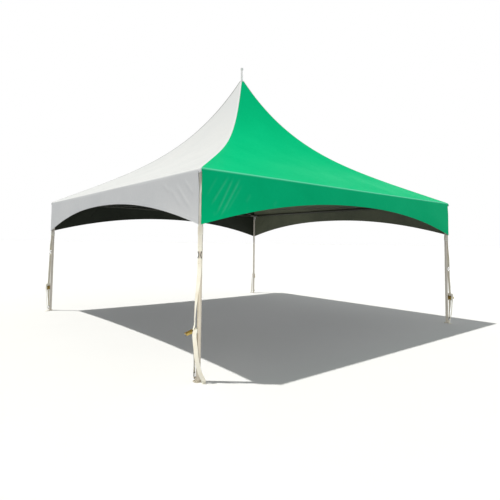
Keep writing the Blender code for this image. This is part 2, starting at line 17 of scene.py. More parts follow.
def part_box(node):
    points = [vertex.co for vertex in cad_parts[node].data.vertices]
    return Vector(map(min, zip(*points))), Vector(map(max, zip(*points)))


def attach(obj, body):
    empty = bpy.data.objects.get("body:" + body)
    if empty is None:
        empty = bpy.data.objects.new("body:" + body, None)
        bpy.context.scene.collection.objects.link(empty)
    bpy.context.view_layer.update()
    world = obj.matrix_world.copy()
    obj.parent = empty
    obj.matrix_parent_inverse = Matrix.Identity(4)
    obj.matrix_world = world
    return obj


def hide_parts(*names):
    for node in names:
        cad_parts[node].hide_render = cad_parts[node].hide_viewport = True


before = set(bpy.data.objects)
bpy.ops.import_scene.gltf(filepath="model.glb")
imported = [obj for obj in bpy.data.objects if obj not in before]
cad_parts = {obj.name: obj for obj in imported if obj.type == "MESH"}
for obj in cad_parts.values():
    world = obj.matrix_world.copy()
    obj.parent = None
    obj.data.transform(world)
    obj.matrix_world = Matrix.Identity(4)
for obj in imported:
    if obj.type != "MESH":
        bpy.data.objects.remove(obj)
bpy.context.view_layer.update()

# %% [markdown]
# ## The camera
# The tent was photographed by someone standing in front of one corner, with the lens at about eye height
# and a slightly wide view. The horizon, the four feet and the four eave corners give the place and the
# lens. The photograph's centre lies a little off the lens's axis, and a small shift gives that back.

# %% Place the camera
EYE = Vector((-5.6784, -7.0343, 1.5678))
YAW, PITCH, ROLL = (math.radians(angle) for angle in (51.04, 3.32, 0.734))

lens = bpy.data.cameras.new("front_corner_lens")
lens.sensor_width = 36
lens.lens = 30.19
lens.shift_x = 0.0192
lens.shift_y = -0.0638
lens.clip_end = 900
forward = Vector((math.cos(YAW) * math.cos(PITCH), math.sin(YAW) * math.cos(PITCH), math.sin(PITCH)))
level = Vector((math.sin(YAW), -math.cos(YAW), 0))
upright = level.cross(forward)
to_right = level * math.cos(ROLL) + upright * math.sin(ROLL)
to_top = upright * math.cos(ROLL) - level * math.sin(ROLL)
camera = bpy.data.objects.new("front_corner_camera", lens)
camera.matrix_world = Matrix.Translation(EYE) @ Matrix((to_right, to_top, -forward)).transposed().to_4x4()
bpy.context.scene.collection.objects.link(camera)
bpy.context.scene.camera = camera
print("camera", round(EYE.length, 2), "m from the middle of the tent, lens", lens.lens, "mm")

# %% [markdown]
# ## The tent's own sizes
# A frame marquee of this kind is 20 ft square. Everything soft has to land on the frame, so its sizes are
# given once here: the canopy's outline, where the legs stand and how each corner's strap is rigged. A
# corner has its own frame, with the leg as its axis and X pointing outwards, because the four corners are
# built alike.

# %% Sizes that the soft parts share
HALF = 3.048
EAVE_Z = 2.42
PEAK_Z = 5.11
PEAK_HOLE = 0.031
EAVE_SHARE = 0.555
PEAK_POWER = 4.2
PANEL_SAG = 0.035
VALANCE_MIDDLE = 0.26
VALANCE_CORNER = 0.66
ARCH_POWER = 2.14
SLIT = 0.020
SLIT_CUT = 0.029
SLIT_TOP = 0.055
SLIT_WEDGE = 0.235
AXIS = 2.998
AXLE_Z = 0.57
STRAP_WIDTH = 0.048
STRAP_OFF = 0.034
RING_OFF = 0.046
GAP = 0.0003
# Height of the waisted ring, and how far round the leg, facing which way and how far out the ratchet sits
CORNERS = {
    "front_left": {"side": (-1, -1), "ring": 1.42, "round": -62, "face": -62, "off": 0.052},
    "front_right": {"side": (1, -1), "ring": 1.08, "round": 0, "face": 30, "off": 0.060},
    "back_right": {"side": (1, 1), "ring": 1.30, "round": 0, "face": 0, "off": 0.052},
    "back_left": {"side": (-1, 1), "ring": 1.30, "round": 0, "face": -30, "off": 0.060},
}
SIDES = {"front": 0, "right": 90, "back": 180, "left": 270}


def polar(radius, angle, z=0.0):
    """A point at this distance and angle in degrees about Z."""
    return Vector((radius * math.cos(math.radians(angle)), radius * math.sin(math.radians(angle)), z))


def corner_place(corner):
    """From a corner's own frame to the tent's."""
    x, y = corner["side"]
    return Matrix.Translation((x * AXIS, y * AXIS, 0)) @ Matrix.Rotation(math.atan2(y, x), 4, "Z")


def ratchet_place(corner):
    """From a ratchet's own frame, about its axle with X facing outwards, to the tent's."""
    seat = Matrix.Translation(polar(corner["off"], corner["round"], AXLE_Z))
    return corner_place(corner) @ seat @ Matrix.Rotation(math.radians(corner["face"]), 4, "Z")


for name, corner in CORNERS.items():
    print(name, "leg at", [round(v, 3) for v in corner_place(corner).to_translation()[:2]])

# %% [markdown]
# ## Tools for materials
# Every finish is a tree of nodes round one Principled shader. Colours are written as the sRGB hex values
# that a paint chart or a photograph gives, and one function turns them into the linear light that the
# shader works in. Most of the others add a node and give back its output, so that a tree reads from top to
# bottom.

# %% Colours and nodes
WAVE_PERIOD = math.tau / 20  # of a Wave texture at scale 1, in metres


def linear(code):
    """An sRGB hex colour as linear red, green, blue and alpha."""
    values = [int(code[i : i + 2], 16) / 255 for i in (0, 2, 4)]
    return (*(v / 12.92 if v <= 0.04045 else ((v + 0.055) / 1.055) ** 2.4 for v in values), 1)


def add_node(tree, kind, inputs=None, **settings):
    """Adds a node. Each input, by name or number, takes a value or the output of another node."""
    made = tree.nodes.new(kind)
    for name, value in settings.items():
        setattr(made, name, value)
    for key, value in (inputs or {}).items():
        if isinstance(value, bpy.types.NodeSocket):
            tree.links.new(value, made.inputs[key])
        else:
            made.inputs[key].default_value = value
    return made


def output(tree, kind, inputs=None, **settings):
    """Adds a node and gives back its first output."""
    return add_node(tree, kind, inputs, **settings).outputs[0]


def maths(tree, operation, first, second=0.5, **settings):
    return output(tree, "ShaderNodeMath", {0: first, 1: second}, operation=operation, **settings)


def noise_on(tree, scale, detail, where=None):
    """A Noise texture in the piece's own space, or at the given place."""
    where = where or add_node(tree, "ShaderNodeTexCoord").outputs["Object"]
    return output(tree, "ShaderNodeTexNoise", {0: where, "Scale": scale, "Detail": detail})


def remap(tree, value, low, high, new_low=0.0, new_high=1.0, **settings):
    ranges = {0: value, 1: low, 2: high, 3: new_low, 4: new_high}
    return output(tree, "ShaderNodeMapRange", ranges, **settings)


def blend(tree, share, *colours):
    """A colour between two, each a hex value, a linear colour or an output."""
    first, second = (linear(c) if isinstance(c, str) else c for c in colours)
    return add_node(tree, "ShaderNodeMix", {0: share, 6: first, 7: second}, data_type="RGBA").outputs[2]


def threads(tree, spacing, operation, weft=1.0):
    """Threads both ways of the UV map, this many metres apart. Those across are this many times closer."""
    found = []
    for direction, closer in (("X", 1), ("Y", weft)):
        uv = output(tree, "ShaderNodeUVMap", uv_map="UVMap")
        inputs = {0: uv, "Scale": WAVE_PERIOD / spacing * closer}
        found.append(add_node(tree, "ShaderNodeTexWave", inputs, bands_direction=direction).outputs[1])
    return maths(tree, operation, *found)


def new_finish(name, roughness, ior=None, metallic=0.0, **more):
    """A material with a Principled shader and its tree."""
    finish = bpy.data.materials.new(name)
    finish.use_nodes = True
    shader = finish.node_tree.nodes["Principled BSDF"]
    values = {"Roughness": roughness, "Metallic": metallic, "IOR": ior or shader.inputs["IOR"].default_value}
    for title, value in {**values, **more}.items():
        shader.inputs[title.replace("_", " ")].default_value = value
    return finish, finish.node_tree


def dress(tree, colour, gloss=None, relief=None, strength=0.0, depth=0.0):
    """Gives the shader its colour, its roughness and a relief of this strength and depth in metres."""
    shader = tree.nodes["Principled BSDF"]
    tree.links.new(colour, shader.inputs["Base Color"])
    if gloss:
        tree.links.new(gloss, shader.inputs["Roughness"])
    if relief:
        bump = add_node(tree, "ShaderNodeBump", {"Strength": strength, "Distance": depth, "Height": relief})
        tree.links.new(bump.outputs[0], shader.inputs["Normal"])


def grained_finish(name, roughness, ior, colours, blotch, grain, strength, depth):
    """A plain finish with blotches and a grain, each given as the scale and the detail of a noise."""
    finish, tree = new_finish(name, roughness, ior)
    shade = blend(tree, noise_on(tree, *blotch), *colours)
    dress(tree, shade, None, noise_on(tree, *grain), strength, depth)
    return finish


print("a wave at scale 1 repeats after", round(WAVE_PERIOD, 3), "m")

# %% [markdown]
# ## Tools for shapes
# Webbing, rings, seams and bands are all one thing to a modeller: a cross-section carried along a path. So
# one function joins rings of points into a closed skin and lays a UV map on it in real metres. A weave or a
# row of stitches can then be given its spacing in metres, and it follows the strap round every bend and
# twist.

# %% A skin through rings of points


def new_piece(name, mesh, finishes, sharp=35):
    """A finished object at the origin. Edges sharper than this many degrees stay sharp."""
    for finish in finishes:
        mesh.materials.append(finish)
    mesh.shade_smooth()
    mesh.set_sharp_from_angle(angle=math.radians(sharp))
    made = bpy.data.objects.new(name, mesh)
    bpy.context.scene.collection.objects.link(made)
    return made


def tent_piece(name, mesh, finish, sharp=35):
    """A piece that stands still with the tent, of one finish."""
    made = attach(new_piece(name, mesh, [finish], sharp), "tent")
    return made


def lengths(points):
    """The distance along a path to each of its points."""
    total = [0.0]
    for here, ahead in zip(points, points[1:]):
        total.append(total[-1] + (ahead - here).length)
    return total


def loft(bm, rings, across=None, along=None, closed=False):
    """Adds a closed skin through rings of points. The UV map is in metres."""
    uv = bm.loops.layers.uv.verify()
    loops = [[bm.verts.new(point) for point in ring] for ring in rings]
    count = len(rings[0])
    across = across or lengths([*rings[0], rings[0][0]])
    middles = [sum(ring, Vector()) / count for ring in rings]
    along = along or lengths([*middles, middles[0]])
    for k in range(len(rings) if closed else len(rings) - 1):
        low, high = loops[k], loops[(k + 1) % len(rings)]
        for i in range(count):
            j = (i + 1) % count
            face = bm.faces.new((low[i], low[j], high[j], high[i]))
            for corner, (a, b) in zip(face.loops, ((i, k), (i + 1, k), (i + 1, k + 1), (i, k + 1))):
                corner[uv].uv = (across[a], along[b])
    if not closed:
        for end, k in ((loops[0][::-1], 0), (loops[-1], -1)):
            face = bm.faces.new(end)
            for corner in face.loops:
                corner[uv].uv = (across[end.index(corner.vert)], along[k])


def mesh_of(name, build):
    """The mesh that build(bm) makes, with its faces turned outwards."""
    bm = bmesh.new()
    build(bm)
    bmesh.ops.recalc_face_normals(bm, faces=bm.faces)
    mesh = bpy.data.meshes.new(name)
    bm.to_mesh(mesh)
    bm.free()
    return mesh


# %% A strap of webbing
# The upper side of a strap's section, in shares of its half width and of its half thickness
CROWN = ((-1, 0), (-0.95, 0.72), (-0.6, 1), (-0.25, 1), (0.25, 1), (0.6, 1), (0.95, 0.72), (1, 0))


def add_strap(bm, places, thick):
    """A flat strap through places of (point, width direction, share of full width, how far it is cupped)."""
    points = [place[0] for place in places]
    section = [*CROWN, *((-a, -b) for a, b in CROWN[1:-1])]
    rings = []
    for k, (point, width, share, *cup) in enumerate(places):
        ahead = (points[min(k + 1, len(points) - 1)] - points[max(k - 1, 0)]).normalized()
        width = (width - ahead * width.dot(ahead)).normalized()
        out = ahead.cross(width)
        half = STRAP_WIDTH / 2 * share
        bulge = cup[0] if cup else 0
        lifts = [out * (thick / 2 * b + bulge * (1 - a * a)) for a, b in section]
        rings.append([point + width * half * a + lift for (a, _), lift in zip(section, lifts)])
    across = [STRAP_WIDTH / 2 * a for a, _ in section] + [-STRAP_WIDTH / 2]
    loft(bm, rings, across, lengths(points))


def curve_through(keys, steps):
    """Stations on a smooth curve through tuples of numbers."""
    stations = [keys[0]]
    for index in range(len(keys) - 1):
        before, first, last, after = (keys[min(max(index + k, 0), len(keys) - 1)] for k in (-1, 0, 1, 2))
        for step in range(1, steps + 1):
            t = step / steps
            station = []
            for a, b, c, d in zip(before, first, last, after):
                bend = (2 * a - 5 * b + 4 * c - d) * t**2 + (3 * b - a - 3 * c + d) * t**3
                station.append(b + ((c - a) * t + bend) / 2)
            stations.append(tuple(station))
    return stations


print("a strap's section has", 2 * len(CROWN) - 2, "corners")

# %% [markdown]
# ## Webbing
# The straps are woven polyester webbing 48 mm wide, the kind that ratchet straps are made of. It is a warm
# white, with fine cords running along it and a thicker selvedge at each edge that picks up dirt first. The
# cords are 1.6 mm apart, too fine to show from this far, so they are drawn 6 mm apart. The bump follows the
# UV map, so that the weave stays along the strap where it twists. The short strap at the front corner's
# foot is painted grey, a painted shade for the shadow that it hangs in.

# %% Woven polyester webbing
WEBBING_CORDS = 0.006


def webbing_finish(name, clean, worn):
    """Woven polyester webbing between a clean and a worn colour."""
    finish, tree = new_finish(name, 0.78, 1.53, Sheen_Weight=0.25, Sheen_Roughness=0.4)
    uv = output(tree, "ShaderNodeUVMap", uv_map="UVMap")
    across = output(tree, "ShaderNodeSeparateXYZ", {0: uv})
    selvedge = remap(tree, maths(tree, "ABSOLUTE", across), 0.0185, 0.024, 0.0, 0.6)
    patch = remap(tree, noise_on(tree, 9.0, 6.0), 0.42, 0.78)
    shade = blend(tree, maths(tree, "MAXIMUM", selvedge, patch), clean, worn)
    dress(tree, shade, None, threads(tree, WEBBING_CORDS, "ADD", 1.5), 0.6, 0.0006)
    return finish


webbing = webbing_finish("woven_polyester_webbing", "fffcec", "f5ecd6")
# Grey webbing for the front corner's short strap: a painted shade for the shadow it hangs in.
painted_shade_webbing = webbing_finish("woven_polyester_webbing_painted_shade", "a39f8d", "6f6b5b")
print("webbing cords drawn", WEBBING_CORDS * 1000, "mm apart")

# %% [markdown]
# ## The loose ends of the straps
# Each ratchet pulls its strap through a slot in the spool, and what is left over hangs free. It comes round
# the back of the ratchet, folds down its side and falls to the ground, where it turns outwards. At the
# front corner that end faces the camera, so its whole length shows: 0.72 m. Each loose end is flat and cut
# off bare, as the real ones are.

# %% Four loose ends
# The middle of the strap as x and y from the ratchet's axle and its height, then the direction of its width
TAIL = (
    (-0.0178, -0.0310, 0.5700, 0, 0, 1),
    (-0.0178, -0.0180, 0.5700, 0, 0, 1),
    (-0.0192, 0.0050, 0.5700, 0, 0, 1),
    (-0.0216, 0.0220, 0.5700, 0, 0, 1),
    (-0.0225, 0.0360, 0.5700, 0, 0, 1),
    (-0.0150, 0.0470, 0.5700, 0, 0, 1),
    (-0.0010, 0.0490, 0.5680, 0.1, 0, 1),
    (0.0110, 0.0490, 0.5600, 0.7, 0, 0.7),
    (0.0150, 0.0490, 0.5420, 1, 0, 0),
    (0.0130, 0.0485, 0.5000, 1, 0, 0),
    (0.0080, 0.0500, 0.4500, 0.98, -0.15, 0),
    (0.0003, 0.0519, 0.3900, 0.95, -0.3, 0),
    (-0.0086, 0.0533, 0.3000, 0.927, -0.375, 0),
    (-0.0218, 0.0544, 0.2250, 0.927, -0.375, 0),
    (-0.0381, 0.0556, 0.1600, 0.927, -0.375, 0),
    (-0.0572, 0.0580, 0.1000, 0.927, -0.375, 0),
    (-0.0778, 0.0620, 0.0600, 0.927, -0.375, 0),
    (-0.0910, 0.0660, 0.0300, 0.927, -0.375, 0),
    (-0.0955, 0.0740, 0.0120, 0.927, -0.375, 0),
    (-0.0950, 0.0840, 0.0050, 0.927, -0.375, 0),
    (-0.0910, 0.0980, 0.0021, 0.927, -0.375, 0),
    (-0.0870, 0.1120, 0.0020, 0.927, -0.375, 0),
)
STRAP_THICK = 0.0026

for name, corner in CORNERS.items():
    turn = -1 if corner["face"] > 0 else 1
    below = ratchet_place(corner) @ Matrix.Translation((0, 0, -AXLE_Z))
    places = []
    for x, y, z, *width in curve_through(TAIL, 3):
        direction = below.to_3x3() @ Vector((width[0], turn * width[1], width[2]))
        places.append((below @ Vector((x, turn * y, z)), direction.normalized(), 1))
    mesh = mesh_of("loose_end", lambda bm: add_strap(bm, places, STRAP_THICK))
    loose_end = tent_piece(f"loose_end_{name}", mesh, webbing)
    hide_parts(f"strap_tail_{name}")
    path = [place[0] for place in places]
    print(loose_end.name, "is", round(lengths(path)[-1], 3), "m long")

# %% [markdown]
# ## Coated canopy cloth
# The canopy is PVC-coated polyester, the vinyl that event tents are made of. A woven scrim gives it
# strength, and a smooth coat gives it colour. The green coat is nearly matt, or the sky would wash its
# colour out. A painted highlight, a lighter colour, runs where the cloth bends over the eave and along the
# crests of its creases. The inner face is painted a dark olive, a painted shade that makes the arches look
# dark, a little lighter under the white sides. The scrim's threads lie 1 mm apart and are drawn 14 mm
# apart. The welded hem is a band 50 mm deep that stands up slightly, and rain leaves the cloth a little dull
# just above it.

# %% Green and white vinyl, and linings of painted shade
SCRIM = 0.014
HEM_BAND = 0.05


def vinyl_finish(name, bright, dull, painted_highlight, roughness, shine):
    """PVC-coated polyester drifting between two shades, with a painted highlight where it bends."""
    finish, tree = new_finish(name, roughness, 1.53, Specular_IOR_Level=shine)
    hem = add_node(tree, "ShaderNodeAttribute", attribute_name="above_hem").outputs["Fac"]
    bend = add_node(tree, "ShaderNodeAttribute", attribute_name="painted_highlight_share").outputs["Fac"]
    drift = remap(tree, noise_on(tree, 1.3, 4.0), 0.3, 0.7, 0.0, 0.7)
    worn = maths(tree, "ADD", remap(tree, hem, 0.0, 0.22, 0.35, 0.0), drift)
    smears = remap(tree, noise_on(tree, 22.0, 5.0), 0.3, 0.8, -0.1, 0.3)
    total = maths(tree, "ADD", worn, smears, use_clamp=True)
    # The painted highlight: a lighter colour where the cloth bends over the eave and on crease crests.
    shade = blend(tree, bend, blend(tree, total, bright, dull), painted_highlight)
    gloss = remap(tree, total, 0.0, 1.0, roughness - 0.05, roughness + 0.12)
    edge = (HEM_BAND - 0.004, HEM_BAND + 0.004, 12.0, 0.0)
    band = remap(tree, hem, *edge, interpolation_type="SMOOTHSTEP")
    dress(tree, shade, gloss, maths(tree, "ADD", threads(tree, SCRIM, "MULTIPLY"), band), 0.5, 0.0001)
    return finish


# The third colour of each cloth is its painted highlight.
green_vinyl = vinyl_finish("coated_vinyl_green", "00d48d", "00cb85", "70ecbc", 0.48, 0.015)
white_vinyl = vinyl_finish("coated_vinyl_white", "eff0f0", "e6e8e9", "fbfbfb", 0.42, 0.15)
welded_vinyl = vinyl_finish("coated_vinyl_white_welded", "fbfbfb", "f4f5f5", "fcfcfc", 0.36, 0.15)
# Grey for the back hips is a painted shade along their curved edge.
hip_vinyl_painted_shade = vinyl_finish("coated_vinyl_white_painted_shade", "c9cbca", "b9bcba", "d8d9d8", 0.45, 0.15)
# The linings are painted shade: dark olive inner faces, a little lighter under the white sides.
green_painted_shade_lining = vinyl_finish("blackout_coating_on_green", "373c31", "2e332a", "373c31", 0.6, 0.2)
white_painted_shade_lining = vinyl_finish("blackout_coating_on_white", "858a72", "6e7360", "858a72", 0.6, 0.2)
print("cloth:", [m.name for m in bpy.data.materials if "vinyl" in m.name or "blackout" in m.name])

# %% [markdown]
# ## The canopy's cloth
# Each side of the canopy is one continuous sheet. It hangs from the mast in a curve that steepens towards
# the peak, bends over the eave rail with a radius of 45 mm and falls as a valance whose hem is cut in an
# arch. It is built from that rule and not simulated, because a tensioned canopy takes its shape from its
# cut and its frame. A sheet is a grid of rows down the cloth and columns across it, closer together near
# the corners.

# %% The profile of one side
FOLD = 0.045  # radius of the bend over the eave
CLOTH = 0.0025
ROOF_ROWS = 46
FOLD_ROWS = 8
VALANCE_ROWS = 62
COLUMNS = 330


def roof_height(distance):
    """Height of the outer face at this distance from the middle, square to the side."""
    share = (HALF - distance) / (HALF - PEAK_HOLE)
    return EAVE_Z + (PEAK_Z - EAVE_Z) * (EAVE_SHARE * share + (1 - EAVE_SHARE) * share**PEAK_POWER)


def panel_sag(k, distance, u):
    """How far the cloth sags in row k, at u from -1 to 1 between its hips."""
    share = (HALF - distance) / (HALF - PEAK_HOLE) if k < ROOF_ROWS else 0
    return PANEL_SAG * (1 - u**2) * math.sin(math.pi * min(max(share, 0), 1)) ** 2


eave_angle = math.atan(EAVE_SHARE * (PEAK_Z - EAVE_Z) / (HALF - PEAK_HOLE))
fold_reach = FOLD * math.tan((math.pi / 2 - eave_angle) / 2)
roof_foot = HALF - fold_reach * math.cos(eave_angle)
profile = [(d, roof_height(d)) for d in np.linspace(PEAK_HOLE, roof_foot, ROOF_ROWS)]
for turn in np.linspace(math.pi / 2 - eave_angle, 0, FOLD_ROWS + 1)[1:]:
    profile.append((HALF - FOLD + FOLD * math.cos(turn), EAVE_Z - fold_reach + FOLD * math.sin(turn)))
profile = np.array(profile)
steps = np.linalg.norm(np.diff(profile, axis=0), axis=1)
down_cloth = np.concatenate([[0], np.cumsum(steps)])
down_cloth -= down_cloth[-1]
slope = np.gradient(profile, axis=0)
outwards = np.stack([-slope[:, 1], slope[:, 0]], axis=1)
outwards /= np.linalg.norm(outwards, axis=1)[:, None]
inner_profile = profile - CLOTH * outwards
print("slope of the eave", round(math.degrees(eave_angle), 1), "degrees")
print("cloth from peak to eave", round(-down_cloth[0], 3), "m")

# %% [markdown]
# ## Creases
# Cloth that has been folded in a bag keeps some of its creases when it is stretched on a frame. On the
# green valance three of them run up and to the right beside the front corner, with weaker ones next to
# them, and the white one has a few that are hardly seen. They are ridges a few millimetres high, added to
# the sheet itself, so that they catch the light from every side, and their crests get a painted highlight.
# The two sides that the photograph doesn't show get creases of the same kind from a fixed seed.

# %% Ridges on a valance
# Each crease as x and z of its low end, x and z of its high end, its height and its half width
CREASES = {
    "front": (
        (-2.910, 1.980, -2.640, 2.370, 0.0095, 0.015),
        (-2.830, 1.875, -2.567, 2.365, 0.0120, 0.015),
        (-2.772, 1.850, -2.455, 2.375, 0.0120, 0.016),
        (-2.690, 1.900, -2.420, 2.300, 0.0050, 0.018),
        (-2.975, 2.080, -2.800, 2.360, 0.0040, 0.018),
        (-1.915, 2.040, -1.835, 2.125, 0.0040, 0.024),
        (-2.380, 2.050, -2.290, 2.180, 0.0035, 0.026),
    ),
    "left": (
        (2.140, 2.330, 2.350, 2.190, 0.0022, 0.026),
        (2.490, 2.290, 2.850, 1.950, 0.0040, 0.028),
        (2.700, 2.310, 2.920, 2.110, 0.0030, 0.026),
        (2.350, 2.250, 2.640, 1.990, 0.0024, 0.030),
    ),
}


def hem_height(x):
    return EAVE_Z - VALANCE_MIDDLE - (VALANCE_CORNER - VALANCE_MIDDLE) * (np.abs(x) / HALF) ** ARCH_POWER


def creases_of(side):
    """The creases that the photograph shows on this side, and small ones at random near the hem."""
    rng = np.random.default_rng(list(SIDES).index(side) + 3)
    found = list(CREASES.get(side, ()))
    if side not in CREASES:
        for _ in range(5):
            x, lean = rng.uniform(2.0, 2.8), rng.uniform(0.5, 0.9)
            low = rng.uniform(1.95, 2.1)
            x *= rng.choice([-1, 1])
            found.append((x, low, x + math.copysign(lean * 0.3, -x), low + 0.27, 0.006, 0.020))
    for _ in range(12):
        x = rng.uniform(-2.85, 2.85)
        low = float(hem_height(x)) + rng.uniform(0.0, 0.05)
        lean, long = rng.uniform(-0.5, 0.5), rng.uniform(0.05, 0.11)
        found.append((x, low, x + lean * long, low + long, rng.uniform(0.0015, 0.0030), 0.022))
    return found


def ridges(side, x, z):
    """How far the creases lift the cloth at each point."""
    lift = np.zeros(x.shape)
    for x0, z0, x1, z1, high, wide in creases_of(side):
        along = np.array([x1 - x0, z1 - z0])
        long = np.linalg.norm(along)
        along /= long
        s = (x - x0) * along[0] + (z - z0) * along[1]
        t = (x - x0) * along[1] - (z - z0) * along[0]
        ends = np.clip(np.minimum(s, long - s) / (0.3 * long) + 0.1, 0, 1)
        lift += high * np.exp(-((t / wide) ** 2)) * ends * ends * (3 - 2 * ends)
    return lift


print("creases on each side:", {side: len(creases_of(side)) for side in SIDES})

# %% [markdown]
# ## One sheet from peak to hem
# The grid's points are worked out with arrays, first for the outer face and then for the inner one, and the
# inner face gets the lining of painted shade. At a hip the two neighbouring sheets meet in one upright
# plane.
# Below the fold each valance is free at its ends, and its right edge, seen from outside, is cut back
# further, most of all at the top, which leaves a dark wedge beside the strap. The attribute above_hem
# stores each point's height over the hem, so that the material can weld the hem band along the arch, and a
# second attribute stores how much painted highlight each point gets. Each face is split along the crease
# that crosses it, so that a crest runs smooth.

# %% Build a sheet
BELOW_FOLD = 0.012  # from the fold to the valance's first row
FOLD_HIGHLIGHT = (0, 0.25, 0.7, 1, 1, 0.7, 0.3, 0.1, 0)  # how much painted highlight each row over the fold gets
CREST_HIGHLIGHT, CREST_HIGH = 0.26, 0.011  # how much more painted highlight a crest of this height gets
ROOF_SWELL, VALANCE_SWELL = 0.004, 0.003
CALM_EDGE = 0.25  # this near to a hip or a free end the swells die out
CALM_ROWS = 6  # and this many rows from the middle of the fold
CREASE_TOP, CREASE_FADE = 0.03, 0.05  # where creases end below the eave, and over what height they fade in


def waves(side, x, down):
    """Slow swells of the cloth, in metres, from smooth noise that differs from side to side."""
    shift = 10.0 * list(SIDES).index(side)
    flat = [noise.noise(Vector((a * 0.9 + shift, b * 1.1, 0.3))) for a, b in zip(x.ravel(), down.ravel())]
    return np.array(flat).reshape(x.shape)


def face_of_sheet(outline, lift):
    """Points of one face of a sheet, in the front side's place, with their UVs and heights over the hem."""
    u = np.linspace(-1, 1, COLUMNS + 1)
    u = 0.25 * u + 0.75 * np.sin(math.pi / 2 * u)
    rows = []
    for k, (distance, height) in enumerate(outline):
        z = height - panel_sag(k, distance, u)
        rows.append(np.broadcast_arrays(u * (distance - GAP), -distance, z, -down_cloth[k], 1.0))
    distance, height = outline[-1]
    top = height - BELOW_FOLD
    for k in range(VALANCE_ROWS + 1):
        s = (k / VALANCE_ROWS) ** 1.15
        depth = fold_reach + BELOW_FOLD + s * (VALANCE_CORNER - fold_reach - BELOW_FOLD)
        cut = SLIT_TOP + (SLIT_CUT - SLIT_TOP) * min(1, depth / SLIT_WEDGE)
        x = SLIT - HALF + (2 * HALF - cut - SLIT) * (u + 1) / 2
        bottom = hem_height(x)
        z = top + (bottom - top) * s
        rows.append(np.broadcast_arrays(x, -distance, z, top - z + BELOW_FOLD, z - bottom))
    x, y, z, down, hem = np.array(rows).transpose(1, 0, 2)
    away = np.concatenate([outwards, np.repeat([[1.0, 0.0]], VALANCE_ROWS + 1, axis=0)])
    y -= lift * away[:, :1]
    z += lift * away[:, 1:]
    return np.stack([x, y, z], axis=-1), np.stack([x, down], axis=-1), hem


def lift_of(side):
    """How far swells and creases carry the cloth outwards. The hips and the peak stay where they are."""
    points, flat, _ = face_of_sheet(profile, np.zeros((len(profile) + VALANCE_ROWS + 1, 1)))
    x, z = points[..., 0], points[..., 2]
    rows = np.arange(len(points))[:, None]
    roof = rows < ROOF_ROWS
    edge = np.where(roof, -points[..., 1] - np.abs(x), HALF - np.abs(x))
    calm = np.clip(edge / CALM_EDGE, 0, 1)
    near_eave = np.clip(np.abs(rows - ROOF_ROWS - FOLD_ROWS / 2) / CALM_ROWS, 0, 1)
    swell = waves(side, x, flat[..., 1]) * np.where(roof, ROOF_SWELL, VALANCE_SWELL) * calm * near_eave
    below = np.clip((EAVE_Z - CREASE_TOP - z) / CREASE_FADE, 0, 1)
    return swell + ridges(side, x, z) * below * ~roof


def add_sheet(name, side, finishes):
    """A thin closed sheet with an outer face, an inner face and a rim."""
    lift = lift_of(side)
    outer, flat, hem = face_of_sheet(profile, lift)
    inner, _, _ = face_of_sheet(inner_profile, lift)
    turn = Matrix.Rotation(math.radians(SIDES[side]), 4, "Z")
    rows, columns = outer.shape[:2]
    points = np.concatenate([outer.reshape(-1, 3), inner.reshape(-1, 3)]) @ np.array(turn.to_3x3()).T
    index = np.arange(rows * columns).reshape(rows, columns)
    corners = (index[:-1, :-1], index[1:, :-1], index[1:, 1:], index[:-1, 1:])
    quads = np.stack(corners, axis=-1).reshape(-1, 4)
    # A face is split from its first corner to its third, so it starts where that cut runs along a crease
    high = lift.ravel()[quads]
    turned = np.abs(high[:, 1] - high[:, 3]) < np.abs(high[:, 0] - high[:, 2])
    quads[turned] = np.roll(quads[turned], -1, axis=1)
    rim = np.concatenate([index[:, 0], index[-1, 1:], index[::-1, -1][1:], index[0, ::-1][1:-1]])
    ahead = np.roll(rim, -1)
    under = rows * columns
    band = np.stack([ahead, rim, rim + under, ahead + under], axis=-1)
    faces = np.concatenate([quads, quads[:, [0, 3, 2, 1]] + under, band])
    mesh = bpy.data.meshes.new(name)
    mesh.from_pydata(points.tolist(), [], faces.tolist())
    where = np.concatenate([flat.reshape(-1, 2)] * 2)
    mesh.uv_layers.new(name="UVMap").data.foreach_set("uv", where[faces.ravel()].astype(np.float32).ravel())
    # Rows over the fold get a painted highlight.
    painted_highlight = np.zeros(hem.shape)
    painted_highlight[ROOF_ROWS - 1 : ROOF_ROWS + FOLD_ROWS] = np.array(FOLD_HIGHLIGHT)[:, None]
    hanging = slice(ROOF_ROWS + FOLD_ROWS, None)
    crest = ridges(side, outer[hanging, :, 0], outer[hanging, :, 2])
    # Crease crests get more painted highlight.
    painted_highlight[hanging] += CREST_HIGHLIGHT * np.clip(crest / CREST_HIGH, 0, 1) ** 1.4
    for title, inside, values in (("above_hem", hem, hem), ("painted_highlight_share", 0 * hem, painted_highlight)):
        stored = mesh.attributes.new(title, "FLOAT", "POINT")
        stored.data.foreach_set("value", np.concatenate([values.ravel(), inside.ravel()]).astype(np.float32))
    made = new_piece(name, mesh, finishes, sharp=50)
    mesh.polygons.foreach_set("material_index", [0] * len(quads) + [1] * len(quads) + [0] * len(band))
    return made


sheets = {}
for side in SIDES:
    vinyl, lining = (green_vinyl, green_painted_shade_lining) if side in ("front", "back") else (white_vinyl, white_painted_shade_lining)
    sheets[side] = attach(add_sheet(f"canopy_{side}", side, [vinyl, lining]), "tent")
    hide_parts(f"roof_panel_{side}", f"valance_{side}")

# %% [markdown]
# ## Hip seams and corner caps
# The four sides are welded together along the hips. The white cloth laps over the green one there in a band
# 60 mm wide, which shows as a bright line from the peak down to each front corner, because the lapped cloth
# is double and given a brighter white. The two back hips are painted grey, a painted shade along the curved
# edge of the hip, so the line is faint against the sky. At the eave the band runs over the fold and ends in
# a small tongue, the corner cap. It is a strip laid on the two faces, following the same profile.

# %% Weld the hips
SEAM_WIDTH = 0.050  # on the white side
SEAM_LAP = 0.010  # on the green side
SEAM_THICK = 0.0012
SEAM_RIM = 0.0003  # its thickness at both rims
SEAM_SINK = 0.0006  # how far its underside lies in the cloth
TONGUE = (0.0, 0.012, 0.024, 0.028)  # its end below the fold
TONGUE_WIDE = 0.8  # as a share of its width over the roof


